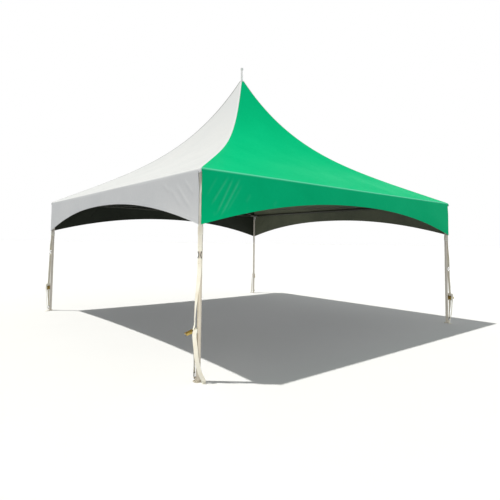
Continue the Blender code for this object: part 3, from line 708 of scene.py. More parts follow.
def seam_rings(thick):
    """Rings of a hip seam beside the right hip of the front side, a ring for each row of the profile."""
    rings = []
    rows = [(d, z, o) for (d, z), o in zip(profile, outwards)]
    rows += [(HALF, profile[-1][1] - drop, outwards[-1]) for drop in TONGUE[1:]]
    for k, (distance, height, away) in enumerate(rows):
        wide = min(SEAM_WIDTH, distance)
        lap = min(SEAM_LAP, distance)
        if k >= len(profile):
            wide *= TONGUE_WIDE
        inset = max(distance, PEAK_HOLE)
        own = [(inset - wide, -distance), (inset - wide * 0.9, -distance), (inset - wide * 0.45, -distance)]
        over = [(distance, lap * 0.9 - inset), (distance, lap - inset)]
        lifts = (SEAM_RIM, thick, thick, thick, thick, SEAM_RIM)
        top, under = [], []
        for i, (x, y) in enumerate((*own, (distance, -distance), *over)):
            point = Vector((x, y, height - panel_sag(k, distance, min(abs(x), abs(y)) / distance)))
            # Before the hip a point is lifted off the front side, after it off the right one, on it off both
            ahead = Vector((away[0] * (i > 2), -away[0] * (i < 4), away[1]))
            top.append(point + ahead * lifts[i])
            under.append(point - ahead * SEAM_SINK)
        rings.append([*top, *under[::-1]])
    return rings


def add_seam(bm, place, mirrored):
    """A hip seam as a thin closed strip."""
    flip = Matrix.Scale(-1, 4, (1, 0, 0)) if mirrored else Matrix.Identity(4)
    loft(bm, [[place @ (flip @ p) for p in ring] for ring in seam_rings(SEAM_THICK)])


for name in CORNERS:
    end, side = name.split("_")
    # Seen from outside, the front corner is at the left side's right end and at the right side's left end
    mirrored = (side == "left") == (end == "back")
    turn = Matrix.Rotation(math.radians(SIDES[side]), 4, "Z")
    mesh = mesh_of("hip_seam", lambda bm: add_seam(bm, turn, mirrored))
    # The back hips get the grey of painted shade.
    finish = welded_vinyl if end == "front" else hip_vinyl_painted_shade
    seam = tent_piece(f"hip_seam_{name}", mesh, finish, sharp=60)
    print(seam.name, "has", len(mesh.polygons), "faces")

for side, sheet in sheets.items():
    ends = [name for name in CORNERS if name.endswith(side)]

# %% [markdown]
# ## Paint on the frame
# The legs are round aluminium tube with a cream enamel paint, sprayed and satin, and the one at the front
# corner gets a darker copy of the cream, a painted shade against the low lamp's light. The eave rails are
# painted dark olive, a painted shade, because the photograph shows no light rail under the arches. Handling
# has left the paint uneven: faint runs along the tube, small scuffs down to a darker grey and a roughness
# that changes with them.

# %% Cream enamel


def paint_finish(name, clean, faded, chipped):
    """Sprayed enamel on a tube, scuffed by use."""
    finish, tree = new_finish(name, 0.42, 1.5)
    place = add_node(tree, "ShaderNodeTexCoord").outputs["Object"]
    drawn = output(tree, "ShaderNodeMapping", {0: place, 3: (1, 1, 0.12)})
    runs = noise_on(tree, 30.0, 3.0, drawn)
    chips = remap(tree, noise_on(tree, 34.0, 8.0), 0.68, 0.72, 0.0, 0.7)
    shade = blend(tree, chips, blend(tree, remap(tree, runs, 0.35, 0.7), clean, faded), chipped)
    dress(tree, shade, remap(tree, chips, 0.0, 1.0, 0.38, 0.7), runs, 0.25, 0.0005)
    return finish


def coat(finish, *starts):
    """Gives a finish to each solid whose name starts in one of these ways."""
    for name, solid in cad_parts.items():
        if name.startswith(starts):
            solid.material_slots[0].material = finish


cream_enamel = paint_finish("sprayed_enamel_cream", "f7efdf", "e7dfcd", "928c7e")
# A darker copy of the cream for the front leg, a painted shade against the low lamp's light.
leg_enamel_painted_shade = paint_finish("sprayed_enamel_cream_painted_shade", "dcd4c3", "cbc2b0", "8a8474")
# Dark olive on the rails is a painted shade for the dark inside of the tent.
rail_enamel_painted_shade = paint_finish("sprayed_olive_enamel_painted_shade", "4c4f42", "3c3f34", "6c6c60")
coat(cream_enamel, "leg_")
coat(leg_enamel_painted_shade, "leg_front_left")
coat(rail_enamel_painted_shade, "eave_rail_")
print("painted:", sum(n.startswith(("leg_", "eave_rail_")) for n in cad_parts), "tubes")

# %% [markdown]
# ## Bare metal
# The corner fittings, the mast's hub and the collar are galvanised steel: grey, with the soft flower
# pattern that zinc leaves when it sets. The cables are wire rope in a dark grey, a painted shade for the
# dark inside of the tent. The ratchets are pressed steel with a yellow passivated zinc plating that shifts
# from straw to brown where hands have rubbed it. The mast is light aluminium tube, and the rings and the
# pawls are steel with a black oxide finish.

# %% Zinc, aluminium and black oxide


def zinc_finish(name, light, dark, roughness, flower):
    """Zinc on steel, with crystals of this size in metres."""
    finish, tree = new_finish(name, roughness, metallic=1.0)
    place = add_node(tree, "ShaderNodeTexCoord").outputs["Object"]
    crystals = add_node(tree, "ShaderNodeTexVoronoi", {0: place, "Scale": 1 / flower})
    grey = output(tree, "ShaderNodeRGBToBW", {0: crystals.outputs["Color"]})
    smears = noise_on(tree, 45.0, 6.0)
    shade = blend(tree, maths(tree, "MULTIPLY", grey, remap(tree, smears, 0.35, 0.7)), light, dark)
    dress(tree, shade, remap(tree, grey, 0.0, 1.0, roughness - 0.08, roughness + 0.12), smears, 0.2, 0.0003)
    return finish


galvanised = zinc_finish("hot_dip_galvanised_steel", "b9bbb8", "8b8e8c", 0.42, 0.012)
yellow_zinc = zinc_finish("yellow_passivated_zinc_steel", "c2a95f", "5c4a24", 0.34, 0.005)
# Dark grey cable is a painted shade for the dark inside of the tent.
rope_painted_shade = zinc_finish("galvanised_wire_rope", "6c6e6b", "3f413f", 0.5, 0.003)
drawn_aluminium = zinc_finish("drawn_aluminium_tube", "fafafa", "ececed", 0.6, 0.2)
black_oxide = zinc_finish("black_oxide_steel", "33322e", "1a1917", 0.45, 0.004)
moulded = grained_finish(
    "moulded_polyethylene_grey", 0.5, 1.51, ("fcfcfb", "f1f1ef"), (25.0, 3.0), (120.0, 4.0), 0.3, 0.0004
)
coat(drawn_aluminium, "mast")
coat(galvanised, "corner_fitting_", "mast_hub", "peak_collar")
coat(rope_painted_shade, "cross_cable_")
coat(yellow_zinc, "ratchet_frame_", "ratchet_handle_")
coat(moulded, "mast_cap")
print("metal:", [m.name for m in (galvanised, rope_painted_shade, drawn_aluminium, yellow_zinc, black_oxide)])

# %% [markdown]
# ## The tensioned straps
# At each corner a strap is sewn to the canopy, comes down the outside of the leg and ends in a waisted
# steel ring that looks like an X. A second strap runs from the ring to the spool of the ratchet, and a
# short one holds the ratchet to the foot by another ring. Where a strap meets a ring it goes round the wire
# and is sewn back on itself, so its path turns in a tight half circle and comes back a few millimetres
# behind. Between the valances the strap turns to the left and stands out in the slit, where the sun reaches
# it.

# %% Paths of the straps
WIRE = 0.004
RING_HALF = 0.045
RING_WIDTH = 0.028
FOOT_RING_OFF = 0.0463
FOOT_RING_TOP = 0.105
FOOT_RING_LOW = 0.0377
BOLT_BELOW = 0.108
STRAP_TOP = 2.4095
TIE_TOP = 1.745
TIE_HEIGHT = 0.095
SEWN_LENGTH = 0.12
CLEAR = 0.0002  # between a strap and what it lies on
LOOP = 0.055  # from a bar to where the two plies of a strap's loop meet
NECK = 0.035  # the same to where they lie closest
LOOP_END = 0.062  # and to the end of the sewn ply
# How a strap runs onto the spool, as heights over the axle and distances out from the strap's line
ONTO_SPOOL = ((0.06, 0.001), (0.04, 0.005), (0.022, 0.011), (0.008, 0.015), (0, 0.0158))
# Where the strap turns in the slit between two valances, as one key without its height
IN_SLIT = (0.0473, -10.7, -30.0, 0.0, 1.0, 0.002)


def hang(corner):
    """Where the waisted ring hangs: its distance from the leg's axis, how far round, which way it faces."""
    if corner["round"]:
        return STRAP_OFF, 0, 0
    return RING_OFF, 0, corner["face"]


def on_strap(z, off, around, face, push=0.0, share=1.0, cup=0.0):
    """A place on a strap beside the leg, pushed this far out along the way that it faces."""
    return polar(off, around, z) + polar(push, face), polar(1, face + 90), share, cup


def eased(first, last, steps):
    """Keys from the first to the last, eased so that a twist starts and ends gently."""
    keys = []
    for step in range(steps + 1):
        share = step / steps
        ease = share * share * (3 - 2 * share)
        seat = (a + (b - a) * ease for a, b in zip(first[1:], last[1:]))
        keys.append((first[0] + (last[0] - first[0]) * share, *seat))
    return keys


def loop_keys(z, seat, toward):
    """Keys of a strap round a bar at height z and back. toward is 1 where the strap comes from above."""
    around = WIRE + STRAP_THICK / 2 + CLEAR
    keys = [(z + toward * LOOP, *seat, STRAP_THICK / 2, 1.0)]
    keys.append((z + toward * NECK, *seat, STRAP_THICK / 2 + 0.0006, 1.0))
    for angle in range(0, 181, 20):
        turn = math.radians(angle)
        keys.append((z - toward * around * math.sin(turn), *seat, around * math.cos(turn), 0.86))
    keys.append((z + toward * NECK, *seat, -STRAP_THICK / 2 - 0.0006, 1.0))
    keys.append((z + toward * LOOP_END, *seat, -STRAP_THICK / 2 - CLEAR, 1.0))
    return keys


def strap_places(corner, keys):
    """Places on a strap from keys in the corner's own frame, for add_strap."""
    place = corner_place(corner)
    places = (on_strap(*key) for key in keys)
    return [(place @ point, place.to_3x3() @ width, *rest) for point, width, *rest in places]


def strap_piece(name, corner, keys, finish=webbing):
    """A strap of webbing through keys in the corner's own frame."""
    places = strap_places(corner, keys)
    return tent_piece(name, mesh_of(name, lambda bm: add_strap(bm, places, STRAP_THICK)), finish)


def seats(corner):
    """Where the straps lie at a corner: on the leg, at the waisted ring, the ratchet and the foot ring."""
    ratchet = (corner["off"], corner["round"], corner["face"])
    return (STRAP_OFF, 0, 0), hang(corner), ratchet, (FOOT_RING_OFF, corner["round"], corner["round"])


for name, corner in CORNERS.items():
    plumb, hung, seat, foot = seats(corner)
    bar, low_bar = corner["ring"] + RING_HALF, corner["ring"] - RING_HALF
    flat = (*plumb, 0, 1, 0)
    tie_end = TIE_TOP - TIE_HEIGHT - 0.02
    straight = [(STRAP_TOP, *flat), *eased((STRAP_TOP - SEWN_LENGTH - 0.005, *flat), (2.12, *IN_SLIT), 8)]
    straight += [*eased((1.89, *IN_SLIT), (TIE_TOP + 0.02, *flat), 8), (tie_end, *flat)]
    twisted = eased((tie_end, *plumb, 0, 1), (bar + LOOP, *hung, STRAP_THICK / 2, 1), 16)
    keys = straight + twisted[1:] + loop_keys(bar, hung, 1)[1:]
    upper = strap_piece(f"upper_webbing_{name}", corner, keys)
    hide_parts(f"upper_strap_{name}")
    start = loop_keys(low_bar, hung, -1)[::-1]
    down = eased((low_bar - LOOP, *hung, STRAP_THICK / 2, 1), (AXLE_Z + 0.09, *seat, 0, 1), 40)
    wound = [(AXLE_Z + up, *seat, out, 1) for up, out in ONTO_SPOOL]
    lower = strap_piece(f"ratchet_webbing_{name}", corner, start[:-1] + down + wound)
    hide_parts(f"ratchet_strap_{name}")
    bolt = AXLE_Z - BOLT_BELOW
    start = loop_keys(bolt, seat, -1)[::-1]
    last = (FOOT_RING_TOP + LOOP, *foot, STRAP_THICK / 2, 1)
    down = eased((bolt - LOOP, *seat, STRAP_THICK / 2, 1), last, 12)
    # The front corner's short strap gets the grey webbing of painted shade.
    finish = painted_shade_webbing if name == "front_left" else webbing
    keys = start[:-1] + down + loop_keys(FOOT_RING_TOP, foot, 1)[1:]
    short = strap_piece(f"anchor_webbing_{name}", corner, keys, finish)
    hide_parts(f"anchor_strap_{name}")
print("straps from the canopy at", STRAP_TOP, "m down to the foot rings at", FOOT_RING_TOP, "m")

# %% [markdown]
# ## Rings
# Both rings are bent from 8 mm wire and welded shut. The path is a flat loop whose corners are cut off
# three times, which rounds them as a bender would.

# %% Bend the rings


def rounded(points):
    """A closed path with its corners cut off three times."""
    for _ in range(3):
        ahead = points[1:] + points[:1]
        points = [p.lerp(q, share) for p, q in zip(points, ahead) for share in (0.25, 0.75)]
    return points


def neighbours(path):
    """Each point of a closed path with the ones before and after it."""
    return zip(path[-1:] + path[:-1], path, path[1:] + path[:1])


def add_wire(bm, path, normal, radius=WIRE, sides=10):
    """A closed ring of round wire along a flat path."""
    rings = []
    for before, here, after in neighbours(path):
        across = (after - before).normalized().cross(normal)
        turns = [math.tau * i / sides for i in range(sides)]
        rings.append([here + radius * (math.cos(a) * normal + math.sin(a) * across) for a in turns])
    loft(bm, rings, closed=True)


# Each ring's outline, as shares of its half width and of its height from its middle or its low end
WAISTED = ((1, 1), (0.2, 0), (1, -1), (-1, -1), (-0.2, 0), (-1, 1))
SQUARE = ((1, 0), (1, 1), (-1, 1), (-1, 0))
up = Vector((0, 0, 1))
for name, corner in CORNERS.items():
    place = corner_place(corner)
    _, hung, _, foot = seats(corner)
    for kind, shape, z, seat, tall in (
        ("waisted_ring", WAISTED, corner["ring"], hung, RING_HALF),
        ("foot_ring", SQUARE, FOOT_RING_LOW, foot, FOOT_RING_TOP - FOOT_RING_LOW),
    ):
        middle, across, *_ = on_strap(z, *seat)
        path = rounded([place @ (middle + across * RING_WIDTH * a + up * tall * b) for a, b in shape])
        normal = (place.to_3x3() @ across).cross(up).normalized()
        mesh = mesh_of(kind, lambda bm: add_wire(bm, path, normal))
        tent_piece(f"{kind}_{name}", mesh, black_oxide)
    print(name, "rings at", corner["ring"], "and", FOOT_RING_TOP, "m")

# %% [markdown]
# ## Sewn ends and ties
# The top 120 mm of each strap is thicker: a second ply of webbing is sewn on each face of it, where it
# takes the canopy's pull. Lower down, a tie of narrow webbing goes three times round the leg and the strap
# and holds the two together just below the valance's tips.

# %% Sewn ends
PLY = 0.0015
for name, corner in CORNERS.items():

    def add_plies(bm):
        for push in (-1, 1):
            off = STRAP_OFF + push * (STRAP_THICK / 2 + PLY / 2 + CLEAR)
            ends = [(STRAP_TOP - 0.001, off, 0, 0), (STRAP_TOP - SEWN_LENGTH, off, 0, 0)]
            add_strap(bm, strap_places(corner, ends), PLY)

    tent_piece(f"sewn_end_{name}", mesh_of("sewn_end", add_plies), webbing)
print("sewn ends of", SEWN_LENGTH, "m")

# %% Ties round the legs
WRAPS = 3
TUBE = 0.0254
TIE_THICK = 0.0022
TIE_CLEAR = 0.0012  # from the strap to the tie's inner face
TIE_LEAN = 0.006  # twice what an outer turn rises or falls behind the leg
TIE_ACROSS = [-0.016, -0.015, 0, 0.015, 0.016, -0.016]  # places across it, for the UV map


def tie_path(wrap):
    """One turn of the tie: round behind the tube and flat over the strap in front."""
    front = STRAP_OFF + STRAP_THICK / 2 + TIE_CLEAR
    half = STRAP_WIDTH / 2 + TIE_CLEAR
    back = TUBE + 0.0014
    points = [Vector((front, y, 0)) for y in (-half, -half / 3, half / 3, half)]
    points += [polar(back, angle) for angle in range(95, 266, 17)]
    lean = TIE_LEAN * (wrap - 1)
    return [p + Vector((0, 0, lean * (0.5 - abs(k / len(points) - 0.5)))) for k, p in enumerate(points)]


for name, corner in CORNERS.items():
    place = corner_place(corner)

    def add_wraps(bm):
        tall = TIE_HEIGHT / WRAPS
        edge = Vector((0, 0, tall / 2 - 0.0008))
        for wrap in range(WRAPS):
            middle = Vector((0, 0, TIE_TOP - tall * (wrap + 0.5)))
            rings = []
            for before, here, after in neighbours(tie_path(wrap)):
                out = Vector(((after - before).y, -(after - before).x, 0)).normalized() * TIE_THICK
                centre = here + middle
                low, high = centre + out * 0.8 - edge * 0.95, centre + out * 0.8 + edge * 0.95
                rings.append([place @ p for p in (centre - edge, low, centre + out, high, centre + edge)])
            loft(bm, rings, TIE_ACROSS, closed=True)

    tent_piece(f"valance_tie_{name}", mesh_of("valance_tie", add_wraps), webbing)
print("ties of", WRAPS, "turns at", TIE_TOP, "m")

# %% [markdown]
# ## Trees of nodes for what repeats
# Stitches, bolt heads and the teeth of a ratchet wheel are small shapes that come again and again. Geometry
# Nodes are made for this: the script gives a few points, and a tree sets a copy of the shape on each, sized
# by the tree's own named inputs. Each tree ends by making the copies real and giving them their finish. The
# result is then taken out as a plain mesh, because the export keeps no instances.

# %% Three small trees


def size_tree(name, sizes):
    """A Geometry Nodes tree with named sizes and a finish as inputs: the tree, its inputs and its output."""
    tree = bpy.data.node_groups.new(name, "GeometryNodeTree")
    tree.interface.new_socket("Geometry", in_out="INPUT", socket_type="NodeSocketGeometry")
    tree.interface.new_socket("Finish", in_out="INPUT", socket_type="NodeSocketMaterial")
    for title, value in sizes.items():
        kind = "NodeSocketInt" if isinstance(value, int) else "NodeSocketFloat"
        tree.interface.new_socket(title, in_out="INPUT", socket_type=kind).default_value = value
    tree.interface.new_socket("Geometry", in_out="OUTPUT", socket_type="NodeSocketGeometry")
    return tree, tree.nodes.new("NodeGroupInput").outputs, tree.nodes.new("NodeGroupOutput").inputs


def copied(tree, points, shape, turn, **more):
    """A copy of the shape on each point, made real."""
    placing = {"Points": points, "Instance": shape, "Rotation": turn, **more}
    copies = output(tree, "GeometryNodeInstanceOnPoints", placing)
    return output(tree, "GeometryNodeRealizeInstances", {0: copies})


def end_tree(tree, given, made, shape):
    """Ends a tree: what it made gets its finish."""
    painted = add_node(tree, "GeometryNodeSetMaterial", {"Geometry": shape, "Material": given["Finish"]})
    tree.links.new(painted.outputs[0], made[0])


def facing_turn(tree):
    """Turns Z to the direction that each point stores as "facing"."""
    facing = output(tree, "GeometryNodeInputNamedAttribute", {"Name": "facing"}, data_type="FLOAT_VECTOR")
    return output(tree, "FunctionNodeAlignRotationToVector", {"Vector": facing}, axis="Z")


tree, given, made = size_tree("stitch_rows", {"Spacing": 0.006, "Stitch Length": 0.0046, "Thread": 0.0009})
run = output(tree, "GeometryNodeMeshToCurve", {0: given["Geometry"]})
sizes = {0: run, "Length": given["Spacing"]}
spots = add_node(tree, "GeometryNodeCurveToPoints", sizes, mode="LENGTH").outputs
bead = output(tree, "GeometryNodeMeshUVSphere", {"Segments": 6, "Rings": 4, "Radius": 1.0})
half = maths(tree, "MULTIPLY", given["Stitch Length"], 0.5)
size = output(tree, "ShaderNodeCombineXYZ", {0: given["Thread"], 1: given["Thread"], 2: half})
end_tree(tree, given, made, copied(tree, spots["Points"], bead, spots["Rotation"], Scale=size))
stitch_rows = tree

tree, given, made = size_tree("bolt_heads", {"Sides": 6, "Head": 0.0075, "Height": 0.0055, "Washer": 0.0095})
sizes = {"Vertices": given["Sides"], "Radius": given["Head"], "Depth": given["Height"]}
head = output(tree, "GeometryNodeMeshCylinder", sizes)
sizes = {"Vertices": 16, "Radius": given["Washer"], "Depth": 0.003}
washer = output(tree, "GeometryNodeMeshCylinder", sizes)
rise = output(tree, "ShaderNodeCombineXYZ", {2: maths(tree, "MULTIPLY", given["Height"], 0.5)})
raised = output(tree, "GeometryNodeTransform", {"Geometry": head, "Translation": rise})
bolt = add_node(tree, "GeometryNodeJoinGeometry", {0: raised})
tree.links.new(washer, bolt.inputs[0])
end_tree(tree, given, made, copied(tree, given["Geometry"], bolt.outputs[0], facing_turn(tree)))
bolt_heads = tree

sizes = {"Teeth": 12, "Wheel": 0.0145, "Tooth": 0.0034, "Thickness": 0.0026}
tree, given, made = size_tree("wheel_teeth", sizes)
rim = output(tree, "GeometryNodeMeshCircle", {"Vertices": given["Teeth"], "Radius": given["Wheel"]})
sizes = {"Vertices": 3, "Radius": given["Tooth"], "Depth": given["Thickness"]}
tooth = output(tree, "GeometryNodeMeshCylinder", sizes)
spot = {"Vector": add_node(tree, "GeometryNodeInputPosition").outputs[0]}
aim = output(tree, "FunctionNodeAlignRotationToVector", spot, axis="X", pivot_axis="Z")
wheel = copied(tree, rim, tooth, aim)
end_tree(tree, given, made, copied(tree, given["Geometry"], wheel, facing_turn(tree)))
wheel_teeth = tree


def grown(name, tree, points, finish, slot, edges=(), facing=None, sizes=None):
    """A piece that a tree grows on points, as a plain mesh that stands still with the tent."""
    mesh = bpy.data.meshes.new(name)
    mesh.from_pydata([tuple(p) for p in points], list(edges), [])
    if facing:
        stored = mesh.attributes.new("facing", "FLOAT_VECTOR", "POINT")
        stored.data.foreach_set("vector", [value for direction in facing for value in direction])
    piece = bpy.data.objects.new(name, mesh)
    bpy.context.scene.collection.objects.link(piece)
    modifier = piece.modifiers.new(tree.name, "NODES")
    modifier.node_group = tree
    inputs = {item.name: item.identifier for item in tree.interface.items_tree if item.in_out == "INPUT"}
    modifier[inputs["Finish"]] = finish
    for title, value in (sizes or {}).items():
        modifier[inputs[title]] = value
    seen = piece.evaluated_get(bpy.context.evaluated_depsgraph_get())
    plain = bpy.data.meshes.new_from_object(seen)
    piece.modifiers.clear()
    piece.data = plain
    plain.shade_smooth()
    plain.set_sharp_from_angle(angle=math.radians(40))
    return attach(piece, "tent")


print("trees:", [tree.name for tree in (stitch_rows, bolt_heads, wheel_teeth)])

# %% [markdown]
# ## Stitches
# Webbing is sewn with bonded polyester thread in a box, with a cross inside it where the pull is greatest:
# on the doubled end at the canopy's corner, and smaller boxes where a strap comes back round a ring. Real
# stitches are about 4 mm apart. They are drawn 6 mm apart and in a thick thread, so that a row still reads
# as stitches.

# %% Boxes of stitches
thread = grained_finish(
    "bonded_polyester_thread", 0.6, 1.53, ("cfc2a6", "8f8268"), (260.0, 3.0), (260.0, 3.0), 0.5, 0.0003
)
BOX_HALF = 0.0175
BOX_ENDS = (0.034, 0.052)  # from a bar to the ends of the box on its loop
LOOP_FACE = 0.0031  # from the middle of a loop to its faces


def add_box(points, edges, place, low, high, seat, push, crossed=False):
    """Adds the run of a box of stitches on a strap's face, between two heights."""
    ends = []
    for z, across in ((low, -1), (low, 1), (high, 1), (high, -1)):
        middle, width, *_ = on_strap(z, *seat, push)
        ends.append(place @ (middle + width * across * BOX_HALF))
    for run in ((0, 1, 2, 3, 0), (0, 2), (1, 3))[: 3 if crossed else 1]:
        first = len(points)
        points.extend(ends[i] for i in run)
        edges.extend((first + i, first + i + 1) for i in range(len(run) - 1))


for name, corner in CORNERS.items():
    place, points, edges = corner_place(corner), [], []
    plumb, hung, seat, foot = seats(corner)
    loops = [(corner["ring"] + RING_HALF, 1, hung), (corner["ring"] - RING_HALF, -1, hung)]
    loops += [(AXLE_Z - BOLT_BELOW, -1, seat), (FOOT_RING_TOP, 1, foot)]
    for face in (-1, 1):
        push = face * (STRAP_THICK / 2 + PLY + 0.0003)
        add_box(points, edges, place, STRAP_TOP - SEWN_LENGTH + 0.01, STRAP_TOP - 0.012, plumb, push, True)
        for bar, toward, where in loops:
            ends = sorted(bar + toward * end for end in BOX_ENDS)
            add_box(points, edges, place, *ends, where, face * LOOP_FACE)
    stitches = grown(f"stitches_{name}", stitch_rows, points, thread, "webbing", edges)
    print(stitches.name, "has", len(stitches.data.polygons), "faces")

# %% [markdown]
# ## Bolts, buttons and nuts
# The rails and legs are held in the corner fittings by hexagon bolts with washers, from below and from
# inside, where they don't touch the canopy. A round snap button holds each leg. Bolts also close the lower
# end of each ratchet and fix the foot plates, and locknuts sit at both ends of each cable's turnbuckle.

# %% Hexagon heads on the frame
SLEEVE = 0.0285
FOOT_THICK = 0.006
HUB_Z = 2.245
RAIL_BOLTS = (0.100, 0.138)  # from the leg's axis along each rail
LEG_BOLTS = (0.075, 0.112)  # below the rails' axis
FOOT_BOLTS = (95, 180, 265)  # round the leg, in degrees
FOOT_BOLTS_OUT = 0.043
CHEEK = 0.030  # from a ratchet's middle to its outer face
NUTS = (0.122, 0.268)  # from the fitting's middle along the cable
BOLT = {"Height": 0.0045}
BUTTON = {"Sides": 14, "Head": 0.0045, "Height": 0.004, "Washer": 0.0065}
NUT = {"Head": 0.0135, "Height": 0.008, "Washer": 0.0125}
rail_low, rail_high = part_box("eave_rail_front")
RAIL_Z = (rail_low[2] + rail_high[2]) / 2
leg_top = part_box("leg_front_left")[1][2]
centre = Vector((0, 0, RAIL_Z))
along = (Vector((-AXIS * math.sqrt(2), 0, HUB_Z)) - centre).normalized()
inwards = Vector((-1, 0, 0))
for name, corner in CORNERS.items():
    place, ratchet = corner_place(corner), ratchet_place(corner)
    spots = [(centre + polar(reach, a) - up * SLEEVE, -up) for a in (135, 225) for reach in RAIL_BOLTS]
    spots += [(Vector((-SLEEVE, 0, RAIL_Z - drop)), inwards) for drop in LEG_BOLTS]
    spots += [(polar(FOOT_BOLTS_OUT, angle, FOOT_THICK), up) for angle in FOOT_BOLTS]
    button = [(Vector((-TUBE, 0, leg_top - 0.035)), inwards)]
    nuts = [(centre + along * NUTS[0], along), (centre + along * NUTS[1], -along)]
    turn = ratchet.to_3x3()
    cheeks = [(ratchet @ Vector((0, y * CHEEK, -BOLT_BELOW)), turn @ Vector((0, y, 0))) for y in (-1, 1)]
    faces = 0
    for kind, held, placed, sizes in (
        ("bolts", spots, cheeks, BOLT),
        ("snap_button", button, [], BUTTON),
        ("locknuts", nuts, [], NUT),
    ):
        pairs = [(place @ point, place.to_3x3() @ way) for point, way in held] + placed
        points, facing = zip(*pairs)
        more = {"facing": facing, "sizes": sizes}
        made = grown(f"{kind}_{name}", bolt_heads, points, galvanised, "zinc_steel", **more)
        faces += len(made.data.polygons)
    print(name, "has", faces, "faces of fasteners")

# %% [markdown]
# ## Inside the ratchets
# A ratchet's spool holds the strap in turns, and a toothed wheel at each end of it stops it running back.
# The teeth are grown on the wheels. A locking pawl, a plate with its edge in the teeth, crosses the frame
# below the spool. The winding is one more piece of strap, bent round the spool with the width along the
# axle.

# %% Teeth, pawls and windings
WHEEL_AT = 0.0317
SPOOL = 0.0135  # radius of the winding's first turn
TURN_STEPS = 40
PAWL = ((-0.0095, -0.0165), (-0.0070, -0.0172), (-0.0040, -0.0330), (-0.0070, -0.0345), (-0.0100, -0.0320))
PAWL_Y = (-0.0335, -0.0270, 0, 0.0270, 0.0335)
for name, corner in CORNERS.items():
    ratchet = ratchet_place(corner)
    sideways = ratchet.to_3x3() @ Vector((0, 1, 0))
    points = [ratchet @ Vector((0, y, 0)) for y in (-WHEEL_AT, WHEEL_AT)]
    grown(f"ratchet_teeth_{name}", wheel_teeth, points, yellow_zinc, "zinc_steel", facing=[sideways] * 2)

    def add_turns(bm):
        places = []
        for step in range(TURN_STEPS + 5):
            angle = math.tau * step / TURN_STEPS
            radius = SPOOL + 0.0002 * step / TURN_STEPS
            point = ratchet @ Vector((radius * math.cos(angle), 0, radius * math.sin(angle)))
            places.append((point, sideways, 0.98))
        add_strap(bm, places, STRAP_THICK)

    def add_pawl(bm):
        loft(bm, [[ratchet @ Vector((x, y, z)) for x, z in PAWL] for y in PAWL_Y])

    tent_piece(f"spool_winding_{name}", mesh_of("winding", add_turns), webbing)
    tent_piece(f"locking_pawl_{name}", mesh_of("pawl", add_pawl), black_oxide)
print("teeth, windings and pawls on", len(CORNERS), "ratchets")

# %% [markdown]
# ## The boot at the peak
# Where the mast comes through the canopy, a short sleeve of the same welded vinyl is clamped on the tube,
# so that rain can't run in. It is turned like a lathe part, flares out over the four sheets and has a clamp
# band.

# %% Turn the peak boot
# Its section as distances from the mast's axis and heights over the peak
BOOT = (
    (0.0262, 0.028), (0.0266, 0.030), (0.0274, 0.028), (0.0276, 0.024), (0.0290, 0.023), (0.0290, 0.013),
    (0.0276, 0.012), (0.0284, 0.008), (0.0330, 0.002), (0.0440, -0.016), (0.0440, -0.018), (0.0300, 0.001),
    (0.0262, 0.003),
)
boot_rings = [[polar(r, angle, PEAK_Z + z) for r, z in BOOT] for angle in range(0, 360, 12)]
boot_mesh = mesh_of("peak_boot", lambda bm: loft(bm, boot_rings, closed=True))
boot = tent_piece("peak_boot", boot_mesh, welded_vinyl)
print(boot.name, "has", len(boot_mesh.polygons), "faces")

# %% [markdown]
# ## The floor and the light
# The photograph was cut out on white with a crisp shadow of the sun. A plain pale floor and one sun give
# that shadow, and the sun stands high over the back left corner, as the shadow on the ground says. A pale
# sky near the horizon and a dimmer one overhead give the soft light of a studio and keep the shadow dark
# enough to read. The sky is brighter on the tent's right than on its left, and the camera sees it as plain
# white. A low lamp in front of the near corner lights that leg and its straps, which are bright in the
# photograph.

# %% Floor, sun and sky
FLOOR_REACH = 420.0
floor_mesh = bpy.data.meshes.new("floor")
edges = [(x * FLOOR_REACH, y * FLOOR_REACH, -0.0005) for x, y in ((-1, -1), (1, -1), (1, 1), (-1, 1))]
floor_mesh.from_pydata(edges, [], [(0, 1, 2, 3)])
pale, tree = new_finish("matt_studio_floor", 0.9, 1.45, Specular_IOR_Level=0.1)
dress(tree, blend(tree, noise_on(tree, 1.5, 4.0), "fefeff", "fcfcfd"))
floor = new_piece("floor", floor_mesh, [pale])
floor.visible_diffuse = False


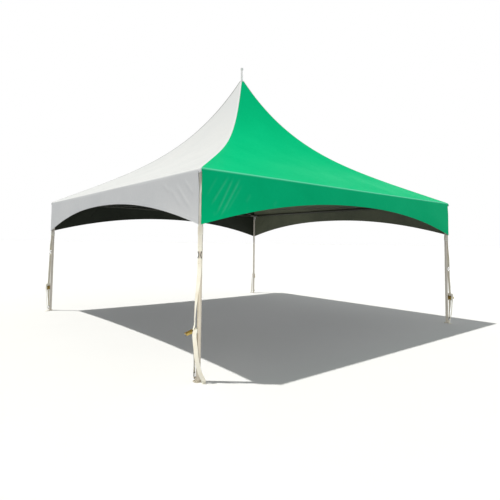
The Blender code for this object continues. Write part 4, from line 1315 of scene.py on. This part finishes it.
def new_light(name, kind, energy, colour, aim, place=(0, 0, 0), **settings):
    """A light at a place that shines along a direction."""
    light = bpy.data.lights.new(name, kind)
    for title, value in {"energy": energy, "color": linear(colour)[:3], **settings}.items():
        setattr(light, title, value)
    made = bpy.data.objects.new(name, light)
    made.location = place
    made.rotation_euler = aim.to_track_quat("-Z", "Y").to_euler()
    bpy.context.scene.collection.objects.link(made)


SUN_WAY = Vector((0.296, -0.25, -1.0))
LAMP = Vector((-5.9, -6.1, 0.45))
LIT = Vector((-3.04, -3.06, 0.85))
new_light("sun", "SUN", 2.6, "fffdf6", SUN_WAY, angle=math.radians(1.2))
cone = {"shadow_soft_size": 0.4, "spot_size": math.radians(28), "spot_blend": 0.6}
new_light("low_lamp", "SPOT", 370, "fffaf0", LIT - LAMP, LAMP, **cone)

# The sky's colours in linear light: low and straight below, low and straight above
NEAR_GROUND, UNDERFOOT = (0.68, 0.70, 0.75, 1), (0.12, 0.12, 0.11, 1)
HORIZON, OVERHEAD = (0.81, 0.82, 0.84, 1), (0.165, 0.178, 0.165, 1)
BRIGHTER = (0.39, -0.09, 0)  # towards this side

sky = bpy.data.worlds.new("studio_sky")
sky.use_nodes = True
tree = sky.node_tree
way = add_node(tree, "ShaderNodeTexCoord").outputs["Generated"]
height = add_node(tree, "ShaderNodeSeparateXYZ", {0: way}).outputs[2]
below = blend(tree, remap(tree, height, -0.45, -0.7), NEAR_GROUND, UNDERFOOT)
above = blend(tree, remap(tree, height, 0.45, 0.55), HORIZON, OVERHEAD)
light = blend(tree, remap(tree, height, -0.02, 0.02), below, above)
tilt = add_node(tree, "ShaderNodeVectorMath", {0: way, 1: BRIGHTER}, operation="DOT_PRODUCT")
strength = {0: light, "Scale": maths(tree, "ADD", tilt.outputs["Value"], 1.0)}
light = output(tree, "ShaderNodeVectorMath", strength, operation="SCALE")
seen = add_node(tree, "ShaderNodeLightPath").outputs["Is Camera Ray"]
tree.links.new(blend(tree, seen, light, (1, 1, 1, 1)), tree.nodes["Background"].inputs[0])
bpy.context.scene.world = sky
bpy.context.scene.view_settings.view_transform = "Standard"
print("floor", 2 * FLOOR_REACH, "m wide, lights:", [light.name for light in bpy.data.lights])
